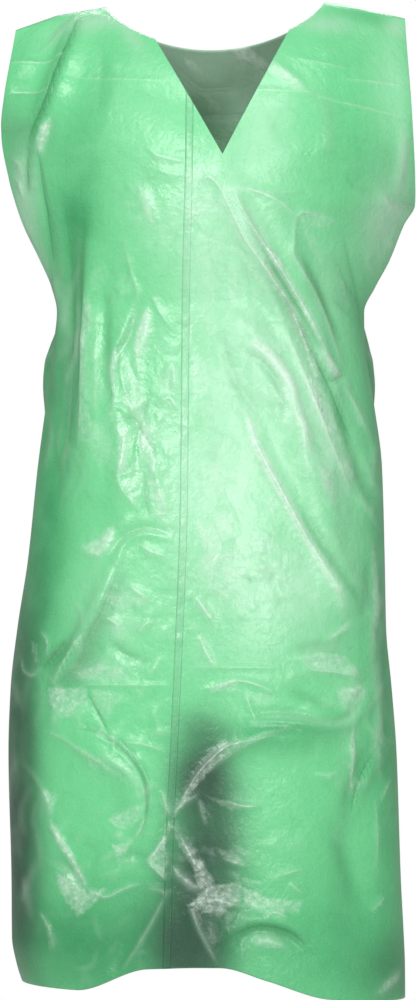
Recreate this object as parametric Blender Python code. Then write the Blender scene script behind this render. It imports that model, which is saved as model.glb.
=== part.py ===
"""Disposable film apron in its worn shape: a sleeveless V-neck tabard.

A front and a back panel of film meet along the shoulders and, below the open armholes,
along the sides. A narrow lap, where one film width is sealed over the other, runs down
the front from the V's edge to the hem.

The garment stands as worn. +Z is up, its front faces -Y, and +X is to the right of
whoever looks at the front. The origin is between the shoulders, at the height of the
shoulder line that carries it. The tables are in millimetres, and the meshes in metres.
"""

from math import asin, pi
from typing import NamedTuple

import bmesh
import bpy
import numpy as np

MM = 0.001

# The film, as the wall that stands for it
WALL = 1.0
SEAM_GAP = 0.3
LAP_WIDTH = 7.5

# Corners of the cut, as (x, z) in the front view
LEFT_TIP = (-182.4, -15.2)
LEFT_BEND = (-143.0, -1.2)
LEFT_NECK = (-96.9, 6.7)
RIGHT_NECK = (110.8, 11.9)
RIGHT_BEND = (143.0, 6.6)
RIGHT_TIP = (187.2, -4.3)
V_LEFT_X = -49.9
V_RIGHT_X = 76.5
V_TIP = (13.4, -141.0)
LEFT_CORNER_DROP = 113.0
RIGHT_CORNER_DROP = 181.0

# The neck scoop, cut through both panels, which hangs lower in front
SCOOP_FRONT = 47.0
SCOOP_BACK = 39.0
SCOOP_POWER = 0.75

# How the film rounds over the shoulders, and how far the armholes stand open each way
SHOULDER_ROUND = 150.0
SHOULDER_POWER = 0.75
ARMHOLE_OPEN = 56.0
ARMHOLE_POWER = 0.75

# The panels' middle line leans from the V's tip to the form's middle at the waist
MIDDLE_STRAIGHT_DROP = 283.0

# How low the lap meets the V's edge, near enough to space the columns by
LAP_TOP_DROP = 80.0

# Rows of the grids: landmarks down the garment, and the steps between them
ROW_LANDMARKS = (0.0, 113.0, 181.0, 283.0, 430.0, 920.0)
ROW_STEPS = (7, 4, 6, 8, 11)
NECKLINE_FADE = 420.0
HEM_SHAPE_FROM = 640.0

# Columns between the cut's corners, side to side
FRONT_STEPS = (7, 3, 2, 1, 2, 4, 3, 7)
BACK_STEPS = (8, 4, 4, 8)

# Folds die away this near a seam: a share of the half width, and a drop
SIDE_CALM = 0.06
SHOULDER_CALM = 16.0

# A fold's ends keep this share of its height
FOLD_ENDS = 0.35

# Rounds that settle where the slanting columns meet the top edge
SETTLING_ROUNDS = 40

# Steepest lean of a wall along a seam, as a cosine squared, that the wall's thickness follows
LEAST_SEAM_REACH = 0.25


class Level(NamedTuple):
    """A cross-section of the worn form. A flare over 1 draws its sides out into flat wings."""

    drop: float
    left: float
    right: float
    front: float
    back: float
    flare: float


class HemPoint(NamedTuple):
    """How low a hem hangs at a share of the half width, from -1 left to 1 right."""

    share: float
    drop: float


class LapPoint(NamedTuple):
    """Where the lap's middle lies across the front at a drop."""

    drop: float
    x: float


class Fold(NamedTuple):
    """A soft ridge, or a trough where its height is negative, along a path of (x, drop)."""

    name: str
    width: float
    height: float
    path: tuple


LEVELS = (
    Level(-15, 178.6, 186.4, 98, 84, 1.45),
    Level(50, 187.5, 189.2, 103, 90, 1.55),
    Level(82, 192.3, 190.9, 106, 94, 1.65),
    Level(113, 196.4, 192.6, 109, 96, 1.75),
    Level(158, 189.0, 195.6, 112, 98, 1.75),
    Level(181, 182.6, 196.7, 112, 97, 1.75),
    Level(200, 176.0, 186.5, 111, 96, 1.7),
    Level(235, 159.3, 172.2, 108, 91, 1.55),
    Level(260, 148.6, 158.7, 105, 86, 1.4),
    Level(283, 143.6, 148.4, 103, 83, 1.25),
    Level(310, 146.2, 148.8, 103, 86, 1.15),
    Level(367, 153.4, 157.2, 106, 96, 1.05),
    Level(430, 161.7, 165.3, 111, 106, 1.0),
    Level(518, 171.0, 167.9, 117, 115, 0.95),
    Level(583, 181.0, 169.2, 119, 117, 0.92),
    Level(641, 187.5, 174.5, 120, 117, 0.9),
    Level(700, 189.5, 179.0, 121, 117, 0.9),
    Level(822, 186.6, 183.2, 122, 116, 0.9),
    Level(876, 186.2, 186.0, 123, 116, 0.9),
    Level(900, 182.0, 187.0, 123, 116, 0.9),
    Level(940, 168.0, 187.4, 123, 116, 0.9),
)

HEM_FRONT = (
    HemPoint(-1.0, 917),
    HemPoint(-0.7, 918),
    HemPoint(-0.3, 896),
    HemPoint(0.05, 894),
    HemPoint(0.29, 907),
    HemPoint(0.6, 926),
    HemPoint(1.0, 933),
)

HEM_BACK = (
    HemPoint(-1.0, 917),
    HemPoint(-0.5, 911),
    HemPoint(0.0, 903),
    HemPoint(0.5, 913),
    HemPoint(1.0, 933),
)

LAP = (
    LapPoint(0, -16.6),
    LapPoint(129, -17.4),
    LapPoint(272, -20.6),
    LapPoint(462, -22.4),
    LapPoint(652, -29.6),
    LapPoint(794, -36.0),
    LapPoint(940, -39.2),
)

FRONT_FOLDS = (
    Fold("shoulder pleat", 13, 9, ((-120, 2), (-136, 50), (-160, 104))),
    Fold("beside the pleat", 15, -7, ((-140, 14), (-154, 60), (-172, 104))),
    Fold("pull from the V", 15, 9, ((16, 160), (44, 229), (63, 272), (86, 320), (128, 424))),
    Fold("second pull", 13, 7, ((60, 190), (76, 226), (95, 291), (128, 405))),
    Fold("between the pulls", 14, -8, ((48, 262), (98, 340), (146, 450))),
    Fold("low pull", 15, 7, ((30, 300), (76, 372), (108, 470), (122, 560))),
    Fold("left column", 13, 7, ((-112, 232), (-110, 330), (-106, 450))),
    Fold("left gather", 12, -8, ((-134, 190), (-130, 300), (-140, 430))),
    Fold("right of the column", 13, 5, ((-86, 270), (-84, 380), (-78, 480))),
    Fold("left skirt fold", 15, 8, ((-84, 520), (-98, 570), (-140, 640))),
    Fold("right skirt fold", 15, 6, ((118, 520), (142, 568))),
    Fold("skirt sweep", 16, 7, ((136, 654), (84, 678), (20, 686))),
    Fold("low left sweep", 16, 7, ((-132, 674), (-72, 712), (-56, 770))),
    Fold("hem left", 17, -8, ((-70, 836), (-88, 905))),
    Fold("hem middle", 17, 8, ((-10, 836), (14, 900))),
    Fold("hem right", 18, -7, ((150, 700), (136, 780), (140, 900))),
)

BACK_FOLDS = (
    Fold("left puff", 20, 19, ((-127, 284), (-142, 346), (-139, 404))),
    Fold("right puff", 20, 18, ((130, 276), (145, 334), (143, 396))),
    Fold("left gather", 14, -8, ((-112, 196), (-104, 290), (-118, 420))),
    Fold("left ridge", 15, 8, ((-84, 180), (-72, 290), (-88, 440))),
    Fold("left inner gather", 14, -8, ((-54, 214), (-42, 290), (-58, 470))),
    Fold("middle ridge", 15, 7, ((-16, 190), (-12, 290), (-22, 520))),
    Fold("middle gather", 14, -8, ((16, 226), (18, 290), (14, 400))),
    Fold("right ridge", 15, 8, ((52, 190), (46, 290), (60, 450))),
    Fold("right gather", 14, -8, ((84, 200), (74, 290), (96, 470))),
    Fold("right outer ridge", 15, 7, ((120, 220), (104, 290), (128, 400))),
    Fold("left shoulder drape", 16, 5, ((-120, 12), (-86, 90), (-60, 150))),
    Fold("right shoulder drape", 16, 5, ((124, 8), (96, 84), (70, 160))),
    Fold("skirt left", 20, 7, ((-106, 560), (-120, 780), (-124, 900))),
    Fold("skirt left trough", 18, -6, ((-52, 620), (-58, 900))),
    Fold("skirt middle", 20, 6, ((6, 600), (4, 900))),
    Fold("skirt right trough", 18, -6, ((66, 560), (76, 900))),
    Fold("skirt right", 20, 6, ((116, 600), (130, 900))),
)


class Finish(NamedTuple):
    """The look of a piece: a linear colour and a roughness."""

    colour: tuple
    roughness: float


FRONT_FILM = Finish((0.19, 0.66, 0.33), 0.35)
BACK_FILM = Finish((0.13, 0.40, 0.22), 0.4)
LAP_FILM = Finish((0.13, 0.56, 0.26), 0.35)


def table_column(rows, name):
    """The values of one named column of a table."""
    return np.array([getattr(row, name) for row in rows], float)


def smooth(rows, name, at, key="drop"):
    """A table's column read at any place, on a curve that never overshoots its rows."""
    xs = table_column(rows, key)
    ys = table_column(rows, name)
    step = np.diff(xs)
    slope = np.diff(ys) / step
    tangent = np.concatenate(([slope[0]], np.zeros(len(xs) - 2), [slope[-1]]))
    same_way = slope[:-1] * slope[1:] > 0
    mean = 2 * slope[:-1] * slope[1:] / np.where(same_way, slope[:-1] + slope[1:], 1)
    tangent[1:-1] = np.where(same_way, mean, 0)
    at = np.clip(at, xs[0], xs[-1])
    i = np.clip(np.searchsorted(xs, at) - 1, 0, len(step) - 1)
    t = (at - xs[i]) / step[i]
    rising = t * t * (3 - 2 * t)
    return (
        ys[i] * (1 - rising)
        + ys[i + 1] * rising
        + step[i] * t * (1 - t) * ((1 - t) * tangent[i] - t * tangent[i + 1])
    )


def eased(t):
    """0 to 1 with soft ends."""
    t = np.clip(t, 0, 1)
    return t * t * (3 - 2 * t)


def ridge(x):
    """Height of the shoulder seams, level across the neck."""
    corners = (LEFT_TIP, LEFT_BEND, LEFT_NECK, RIGHT_NECK, RIGHT_BEND, RIGHT_TIP)
    return np.interp(x, [c[0] for c in corners], [c[1] for c in corners])


def scoop(x, depth):
    """Top edge of a panel with the plain neck scoop of that depth."""
    middle = (LEFT_NECK[0] + RIGHT_NECK[0]) / 2
    half = (RIGHT_NECK[0] - LEFT_NECK[0]) / 2
    across = np.clip(np.abs((x - middle) / half), 0, 1)
    return ridge(x) - depth * (1 - across**2) ** SCOOP_POWER


def front_top(x):
    """Top edge of the front: the scoop, with the V cut into it."""
    plain = scoop(x, SCOOP_FRONT)
    ends = scoop(np.array([V_LEFT_X, V_RIGHT_X]), SCOOP_FRONT)
    notch = np.interp(x, (V_LEFT_X, V_TIP[0], V_RIGHT_X), (ends[0], V_TIP[1], ends[1]))
    return np.where((x > V_LEFT_X) & (x < V_RIGHT_X), notch, plain)


def back_top(x):
    """Top edge of the back: the scoop alone."""
    return scoop(x, SCOOP_BACK)


def middle_x(z):
    """The line that the form's fullest depth follows."""
    return V_TIP[0] * (1 - eased((V_TIP[1] - z) / (MIDDLE_STRAIGHT_DROP + V_TIP[1])))


def edge_x(z, right):
    """The side edge at a height, on the right or the left."""
    return np.where(right, smooth(LEVELS, "right", -z), -smooth(LEVELS, "left", -z))


def x_of(share, z):
    """Where a share of the half width lies at a height."""
    return middle_x(z) + np.abs(share) * (edge_x(z, share > 0) - middle_x(z))


def share_of(x, z):
    """The share of the half width that a place has."""
    offset = x - middle_x(z)
    return offset / np.abs(edge_x(z, offset > 0) - middle_x(z))


def armhole_open(z, right):
    """How far an armhole's edge stands out from the side's plane."""
    top = np.where(right, RIGHT_TIP[1], LEFT_TIP[1])
    corner = np.where(right, -RIGHT_CORNER_DROP, -LEFT_CORNER_DROP)
    way = np.clip((top - z) / (top - corner), 0, 1)
    return ARMHOLE_OPEN * np.sin(pi * way) ** ARMHOLE_POWER


def form_depth(x, z, side):
    """Distance of the film from the plane of the seams; side is 'front' or 'back'."""
    share = np.clip(share_of(x, z), -1, 1)
    full = smooth(LEVELS, side, -z)
    oval = (1 - share**2) ** (smooth(LEVELS, "flare", -z) / 2)
    over = np.clip((ridge(x) - z) / SHOULDER_ROUND, 0, 1)
    rounded = (1 - (1 - over) ** 2) ** SHOULDER_POWER
    stand = armhole_open(z, share > 0)
    return SEAM_GAP / 2 + rounded * (stand + (full - stand) * oval)


def path_distance(x, z, path):
    """Distance of each place from a fold's path, and how far along it lies, from 0 to 1."""
    points = np.array([(px, -drop) for px, drop in path], float)
    lengths = np.linalg.norm(np.diff(points, axis=0), axis=1)
    starts = np.concatenate(([0], np.cumsum(lengths)))
    nearest = np.full(x.shape, np.inf)
    along = np.zeros(x.shape)
    for start, end, length, before in zip(points[:-1], points[1:], lengths, starts[:-1]):
        way = ((x - start[0]) * (end[0] - start[0]) + (z - start[1]) * (end[1] - start[1])) / length**2
        way = np.clip(way, 0, 1)
        gap = np.hypot(
            x - start[0] - way * (end[0] - start[0]), z - start[1] - way * (end[1] - start[1])
        )
        closer = gap < nearest
        nearest = np.where(closer, gap, nearest)
        along = np.where(closer, (before + way * length) / starts[-1], along)
    return nearest, along


def relief(x, z, folds):
    """How far the folds lift the film, dying away at the side and shoulder seams."""
    lift = np.zeros(x.shape)
    for fold in folds:
        away, along = path_distance(x, z, fold.path)
        taper = FOLD_ENDS + (1 - FOLD_ENDS) * np.sin(pi * along)
        lift += fold.height * taper * np.exp(-((away / fold.width) ** 2))
    side_calm = eased((1 - np.abs(share_of(x, z))) / SIDE_CALM)
    shoulder_calm = eased((ridge(x) - z) / SHOULDER_CALM)
    return lift * side_calm * shoulder_calm


def row_levels():
    """The drops of the grid's rows, before the neckline and the hem bend them."""
    levels = [0.0]
    for start, end, steps in zip(ROW_LANDMARKS[:-1], ROW_LANDMARKS[1:], ROW_STEPS):
        levels += list(np.linspace(start, end, steps + 1)[1:])
    return np.array(levels)


def knot_share(x, top):
    """The share of the half width of a corner on the top edge."""
    return float(share_of(np.array(x), top(np.array(x))))


def column_shares(knots, steps):
    """Shares of the columns from side edge to side edge, evenly turned between the knots."""
    angles = [-pi / 2, *(asin(knot) for knot in knots), pi / 2]
    turned = [angles[0]]
    for start, end, count in zip(angles[:-1], angles[1:], steps):
        turned += list(np.linspace(start, end, count + 1)[1:])
    return np.sin(turned)


def lap_x(z, side):
    """An edge of the lap: side is -1 for its left edge and 1 for its right one."""
    return smooth(LAP, "x", -z) + side * LAP_WIDTH / 2


class Panel:
    """A film panel: its outer face as a grid of points, the directions out, and its inner face."""

    def __init__(self, side, top, knots, steps, hem, folds, lap_columns=()):
        self.side = side
        self.outward = -1 if side == "front" else 1
        shares = column_shares([knot_share(x, top) for x in knots], steps)
        x, z = self.lay_out(shares, top, hem, dict(lap_columns))
        y = self.outward * form_depth(x, z, side)
        points = np.stack((x, y, z), axis=2)
        points += self.normals(points) * relief(x, z, folds)[:, :, None]
        self.outer = points
        self.out = self.normals(points)
        self.inner = self.inner_face(z)

    def lay_out(self, shares, top, hem, lap_columns):
        """The grid in the front view, from the top edge down to the hem."""
        x = x_of(shares, np.zeros(shares.shape))
        for _ in range(SETTLING_ROUNDS):
            edge = top(x)
            x = x_of(shares, edge)
            for column, lap_side in lap_columns.items():
                x[column] = lap_x(edge[column], lap_side)
        levels = row_levels()[:, None]
        fade = np.clip(1 - levels / NECKLINE_FADE, 0, 1)
        hem_pull = eased((levels - HEM_SHAPE_FROM) / (ROW_LANDMARKS[-1] - HEM_SHAPE_FROM))
        hem_drop = smooth(hem, "drop", shares, key="share")[None]
        z = -levels + fade * top(x)[None] - hem_pull * (hem_drop - ROW_LANDMARKS[-1])
        x = x_of(np.broadcast_to(shares, z.shape), z)
        for column, lap_side in lap_columns.items():
            x[:, column] = lap_x(z[:, column], lap_side)
        return x, z

    def normals(self, points):
        """Unit directions out of the panel at each of the grid's points."""
        across = np.gradient(points, axis=1)
        down = np.gradient(points, axis=0)
        out = np.cross(across, down) * self.outward
        return out / np.linalg.norm(out, axis=2, keepdims=True)

    def inner_face(self, z):
        """The inner face, a wall's thickness in. Along a seam it stays in the seam's plane."""
        into = -self.out.copy()
        seam = np.zeros(z.shape, bool)
        seam[:, 0] = z[:, 0] <= -LEFT_CORNER_DROP
        seam[:, -1] = z[:, -1] <= -RIGHT_CORNER_DROP
        top_x = self.outer[0, :, 0]
        seam[0] = (top_x <= LEFT_NECK[0] + WALL) | (top_x >= RIGHT_NECK[0] - WALL)
        flat = into * np.array([1, 0, 1])
        reach = np.maximum((flat**2).sum(axis=2, keepdims=True), LEAST_SEAM_REACH)
        into = np.where(seam[:, :, None], flat / reach, into)
        inner = self.outer + into * WALL
        limit = SEAM_GAP / 2
        if self.outward < 0:
            inner[:, :, 1] = np.minimum(inner[:, :, 1], -limit)
        else:
            inner[:, :, 1] = np.maximum(inner[:, :, 1], limit)
        return inner

    def strip(self, first, last):
        """Two faces of a strip laid on the panel between two columns, moved out from its points."""
        under = self.outer[:, first : last + 1] + self.out[:, first : last + 1] * SEAM_GAP
        return under + self.out[:, first : last + 1] * WALL, under


def clear_scene():
    """Takes away whatever the scene already holds."""
    for old in list(bpy.data.objects):
        bpy.data.objects.remove(old)


def film_material(name, finish):
    """A plain film material."""
    material = bpy.data.materials.new(name)
    material.use_nodes = True
    shader = material.node_tree.nodes["Principled BSDF"]
    shader.inputs["Base Color"].default_value = (*finish.colour, 1)
    shader.inputs["Roughness"].default_value = finish.roughness
    shader.inputs["Metallic"].default_value = 0
    return material


def wall_object(name, outer, inner, faces_front, finish):
    """One closed wall between two faces that share a grid."""
    rows, columns = outer.shape[:2]
    shell = bmesh.new()
    outside = [[shell.verts.new(point * MM) for point in row] for row in outer]
    inside = [[shell.verts.new(point * MM) for point in row] for row in inner]
    faces = []
    for r in range(rows - 1):
        for c in range(columns - 1):
            for corners in (((r, c), (r + 1, c), (r + 1, c + 1)), ((r, c), (r + 1, c + 1), (r, c + 1))):
                faces.append([outside[i][j] for i, j in corners])
                faces.append([inside[i][j] for i, j in reversed(corners)])
    around = [(0, c) for c in range(columns)]
    around += [(r, columns - 1) for r in range(1, rows)]
    around += [(rows - 1, c) for c in range(columns - 2, -1, -1)]
    around += [(r, 0) for r in range(rows - 2, 0, -1)]
    for (r0, c0), (r1, c1) in zip(around, around[1:] + around[:1]):
        faces.append([outside[r0][c0], outside[r1][c1], inside[r1][c1], inside[r0][c0]])
    for face in faces:
        shell.faces.new(face if faces_front else face[::-1])
    mesh = bpy.data.meshes.new(name)
    shell.to_mesh(mesh)
    shell.free()
    mesh.shade_smooth()
    mesh.materials.append(film_material(name, finish))
    piece = bpy.data.objects.new(name, mesh)
    bpy.context.scene.collection.objects.link(piece)
    return piece


def build_front():
    """The front panel, with the V, and the lap that lies on it."""
    lap_knots = [float(lap_x(-LAP_TOP_DROP, side)) for side in (-1, 1)]
    knots = (LEFT_NECK[0], V_LEFT_X, *lap_knots, V_TIP[0], V_RIGHT_X, RIGHT_NECK[0])
    left_column = sum(FRONT_STEPS[:3])
    right_column = left_column + FRONT_STEPS[3]
    laps = ((left_column, -1), (right_column, 1))
    panel = Panel("front", front_top, knots, FRONT_STEPS, HEM_FRONT, FRONT_FOLDS, laps)
    wall_object("front_panel", panel.outer, panel.inner, True, FRONT_FILM)
    top, under = panel.strip(left_column, right_column)
    wall_object("front_lap", top, under, True, LAP_FILM)


def build_back():
    """The back panel, whose inner face shows through the V."""
    middle = (LEFT_NECK[0] + RIGHT_NECK[0]) / 2
    knots = (LEFT_NECK[0], middle, RIGHT_NECK[0])
    panel = Panel("back", back_top, knots, BACK_STEPS, HEM_BACK, BACK_FOLDS)
    wall_object("back_panel", panel.outer, panel.inner, False, BACK_FILM)


def main():
    """Builds the apron."""
    clear_scene()
    build_front()
    build_back()


main()
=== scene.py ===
"""The looks of a worn disposable apron of thin, embossed green film.

Three widths of film follow the form of the frame's solids: two in front, sealed to each
other at the lap, and one behind. Each is a thin closed shell whose creases are placed by
name. The tables give x across the front view, positive to its right, and the drop below
the shoulder line, both in millimetres. The meshes are in metres.
"""

import logging
from collections.abc import Iterable, Mapping
from dataclasses import dataclass, field
from enum import Enum
from math import cos, pi, radians, sin

import bpy
import numpy as np
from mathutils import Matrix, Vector


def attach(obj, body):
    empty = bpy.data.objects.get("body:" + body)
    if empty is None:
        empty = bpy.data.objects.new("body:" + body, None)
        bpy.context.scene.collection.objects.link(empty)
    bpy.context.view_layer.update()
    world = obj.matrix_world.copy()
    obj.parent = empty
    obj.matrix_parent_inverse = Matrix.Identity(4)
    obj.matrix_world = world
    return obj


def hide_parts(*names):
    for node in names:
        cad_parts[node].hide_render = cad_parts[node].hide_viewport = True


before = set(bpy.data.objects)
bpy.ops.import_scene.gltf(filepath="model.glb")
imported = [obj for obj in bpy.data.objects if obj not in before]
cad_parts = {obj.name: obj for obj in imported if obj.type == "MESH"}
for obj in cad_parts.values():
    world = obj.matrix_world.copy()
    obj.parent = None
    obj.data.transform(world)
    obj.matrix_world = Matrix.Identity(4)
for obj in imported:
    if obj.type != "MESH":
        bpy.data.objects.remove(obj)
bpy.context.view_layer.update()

MM = 0.001
CURVE_STEPS = (0.25, 0.5, 0.75, 1.0)
Point = tuple[float, float]
Colour = tuple[float, float, float]
Array = np.ndarray


class Side(Enum):
    """Which panel a piece of film belongs to."""

    FRONT = "front"
    BACK = "back"


class Bend(Enum):
    """How the film rises across a crease."""

    ROUND = "a soft hump, or a hollow where the height is negative"
    SHARP = "a pinched line"
    TUCK = "up on one side of the line and down on the other"


class Tone(Enum):
    """What a patch of film does to its finish."""

    # Painted light: a glow of the frontal light painted into the colour.
    BRIGHT = "bright"
    # Painted shade at the sides, the bottom and in hollows, and in part the deeper green of doubled film at
    # the seams and the lap.
    DEEP = "deep"
    PALE = "pale"
    # Painted deep shade, as in the hollow skirt's dark middle and the shaded side edges.
    DARK = "dark"
    # A painted sheen, in part the whitening of crumpled film; it also lowers the roughness and raises the
    # fine relief.
    HAZE = "haze"


@dataclass(frozen=True)
class Level:
    """A cross-section of the worn form. A flare over 1 draws its sides out into flat wings."""

    drop: float
    left: float
    right: float
    front: float
    back: float
    flare: float


@dataclass(frozen=True)
class HemPoint:
    """How low a hem hangs at a share of the half width, from -1 left to 1 right."""

    share: float
    drop: float


@dataclass(frozen=True)
class LapPoint:
    """Where the lap's middle lies across the front at a drop."""

    drop: float
    x: float


@dataclass(frozen=True)
class Crease:
    """A crease along a path of (x, drop). Its tint is painted shade along it, how much deeper the film looks
    there.
    """

    name: str
    bend: Bend
    width: float
    height: float
    tint: float
    path: tuple[Point, ...]

    def curve(self) -> tuple[Point, ...]:
        """The path with its bends rounded.

        Returns:
            The points of the rounded path.
        """
        if len(self.path) < 3:
            return self.path
        points = np.array(self.path, float)
        slopes = np.gradient(points, axis=0)
        rounded = [tuple(points[0])]
        for start, end, leaving, reaching in zip(points[:-1], points[1:], slopes[:-1], slopes[1:]):
            for t in CURVE_STEPS:
                rising = t * t * (3 - 2 * t)
                bow = t * (1 - t) * ((1 - t) * leaving - t * reaching)
                rounded.append(tuple(start + (end - start) * rising + bow))
        return tuple(rounded)


def soft(name: str, width: float, height: float, tint: float, *path: Point) -> Crease:
    """A rounded crease: a hump, or a hollow where the height is negative."""
    return Crease(name, Bend.ROUND, width, height, tint, path)


def sharp(name: str, width: float, height: float, tint: float, *path: Point) -> Crease:
    """A pinched crease."""
    return Crease(name, Bend.SHARP, width, height, tint, path)


def tuck(name: str, width: float, height: float, tint: float, *path: Point) -> Crease:
    """A crease with one side up and the other down."""
    return Crease(name, Bend.TUCK, width, height, tint, path)


@dataclass(frozen=True)
class Crumple:
    """A patch of small creases. They lean from plumb, positive to the lower left."""

    name: str
    x: float
    drop: float
    half_width: float
    half_height: float
    lean: float
    spread: float
    count: int
    length: float
    width: float
    height: float


@dataclass(frozen=True)
class Patch:
    """A soft oval of film with one tone. It leans from plumb, positive to the lower left."""

    name: str
    x: float
    drop: float
    half_width: float
    half_height: float
    lean: float
    strength: float


@dataclass(frozen=True)
class PaintedHighlight:
    """A painted highlight: a flat face that the creases leave, painted whiter where it would catch the light.
    Its corners are (x, drop).
    """

    name: str
    strength: float
    corners: tuple[Point, ...]

    def depth(self, x: Array, z: Array) -> Array:
        """How far inside the face each place lies, and less than 0 outside it.

        Args:
            x: the places across the front view.
            z: the heights.

        Returns:
            The distance to the nearest edge, in millimetres.
        """
        away, _, _ = Film.distances((*self.corners, self.corners[0]), x, z)
        inside = np.zeros(x.shape, bool)
        for (x0, drop0), (x1, drop1) in zip(self.corners, (*self.corners[1:], self.corners[0])):
            crossed = (drop0 > -z) != (drop1 > -z)
            inside ^= crossed & (x < x0 + (x1 - x0) * (-z - drop0) / ((drop1 - drop0) or 1.0))
        return np.where(inside, away, -away)


LEVELS = (
    Level(-15, 178.6, 186.4, 98, 84, 1.45),
    Level(50, 187.5, 189.2, 103, 90, 1.55),
    Level(82, 192.3, 190.9, 106, 94, 1.65),
    Level(113, 196.4, 192.6, 109, 96, 1.75),
    Level(158, 189.0, 195.6, 112, 98, 1.75),
    Level(181, 182.6, 196.7, 112, 97, 1.75),
    Level(200, 176.0, 186.5, 111, 96, 1.7),
    Level(235, 159.3, 172.2, 108, 91, 1.55),
    Level(260, 148.6, 158.7, 105, 86, 1.4),
    Level(283, 143.6, 148.4, 103, 83, 1.25),
    Level(310, 146.2, 148.8, 103, 86, 1.15),
    Level(367, 153.4, 157.2, 106, 96, 1.05),
    Level(430, 161.7, 165.3, 111, 106, 1.0),
    Level(518, 171.0, 167.9, 117, 115, 0.95),
    Level(583, 181.0, 169.2, 119, 117, 0.92),
    Level(641, 187.5, 174.5, 120, 117, 0.9),
    Level(700, 189.5, 179.0, 121, 117, 0.9),
    Level(822, 186.6, 183.2, 122, 116, 0.9),
    Level(876, 186.2, 186.0, 123, 116, 0.9),
    Level(900, 182.0, 187.0, 123, 116, 0.9),
    Level(940, 168.0, 187.4, 123, 116, 0.9),
)

SHOULDER_LINE = (
    (-182.4, -15.2),
    (-143.0, -1.2),
    (-96.9, 6.7),
    (110.8, 11.9),
    (143.0, 6.6),
    (187.2, -4.3),
)

HEM_FRONT = (
    HemPoint(-1.0, 917),
    HemPoint(-0.7, 918),
    HemPoint(-0.3, 896),
    HemPoint(0.05, 894),
    HemPoint(0.29, 907),
    HemPoint(0.6, 926),
    HemPoint(1.0, 933),
)

HEM_BACK = (
    HemPoint(-1.0, 917),
    HemPoint(-0.5, 911),
    HemPoint(0.0, 903),
    HemPoint(0.5, 913),
    HemPoint(1.0, 933),
)

LAP = (
    LapPoint(0, -16.6),
    LapPoint(129, -17.4),
    LapPoint(272, -20.6),
    LapPoint(462, -22.4),
    LapPoint(652, -29.6),
    LapPoint(794, -36.0),
    LapPoint(940, -39.2),
)

FRONT_FOLDS = (
    soft("shoulder pleat", 13, 9, 0, (-120, 2), (-136, 50), (-160, 104)),
    soft("beside the pleat", 15, -7, 0, (-140, 14), (-154, 60), (-172, 104)),
    soft("pull from the V", 15, 9, 0, (16, 160), (44, 229), (63, 272), (86, 320), (128, 424)),
    soft("second pull", 13, 7, 0, (60, 190), (76, 226), (95, 291), (128, 405)),
    soft("between the pulls", 14, -8, 0, (48, 262), (98, 340), (146, 450)),
    soft("low pull", 15, 7, 0, (30, 300), (76, 372), (108, 470), (122, 560)),
    soft("left column", 13, 7, 0, (-112, 232), (-110, 330), (-106, 450)),
    soft("left gather", 12, -8, 0, (-134, 190), (-130, 300), (-140, 430)),
    soft("right of the column", 13, 5, 0, (-86, 270), (-84, 380), (-78, 480)),
    soft("left skirt fold", 15, 8, 0, (-84, 520), (-98, 570), (-140, 640)),
    soft("right skirt fold", 15, 6, 0, (118, 520), (142, 568)),
    soft("skirt sweep", 16, 7, 0, (136, 654), (84, 678), (20, 686)),
    soft("low left sweep", 16, 7, 0, (-132, 674), (-72, 712), (-56, 770)),
    soft("hem left", 17, -8, 0, (-70, 836), (-88, 905)),
    soft("hem middle", 17, 8, 0, (-10, 836), (14, 900)),
    soft("hem right", 18, -7, 0, (150, 700), (136, 780), (140, 900)),
)

BACK_FOLDS = (
    soft("left puff", 20, 16, 0, (-127, 284), (-142, 346), (-139, 404)),
    soft("right puff", 20, 15, 0, (130, 276), (145, 334), (143, 396)),
    soft("left gather", 14, -8, 0, (-112, 196), (-104, 290), (-118, 420)),
    soft("left ridge", 15, 8, 0, (-84, 180), (-72, 290), (-88, 440)),
    soft("left inner gather", 14, -8, 0, (-54, 214), (-42, 290), (-58, 470)),
    soft("middle ridge", 15, 7, 0, (-16, 190), (-12, 290), (-22, 520)),
    soft("middle gather", 14, -8, 0, (16, 226), (18, 290), (14, 400)),
    soft("right ridge", 15, 8, 0, (52, 190), (46, 290), (60, 450)),
    soft("right gather", 14, -8, 0, (84, 200), (74, 290), (96, 470)),
    soft("right outer ridge", 15, 7, 0, (120, 220), (104, 290), (128, 400)),
    soft("left shoulder drape", 16, 5, 0, (-120, 12), (-86, 90), (-60, 150)),
    soft("right shoulder drape", 16, 5, 0, (124, 8), (96, 84), (70, 160)),
    soft("skirt left", 20, 7, 0, (-106, 560), (-120, 780), (-124, 900)),
    soft("skirt left trough", 18, -6, 0, (-52, 620), (-58, 900)),
    soft("skirt middle", 20, 6, 0, (6, 600), (4, 900)),
    soft("skirt right trough", 18, -6, 0, (66, 560), (76, 900)),
    soft("skirt right", 20, 6, 0, (116, 600), (130, 900)),
)

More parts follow.
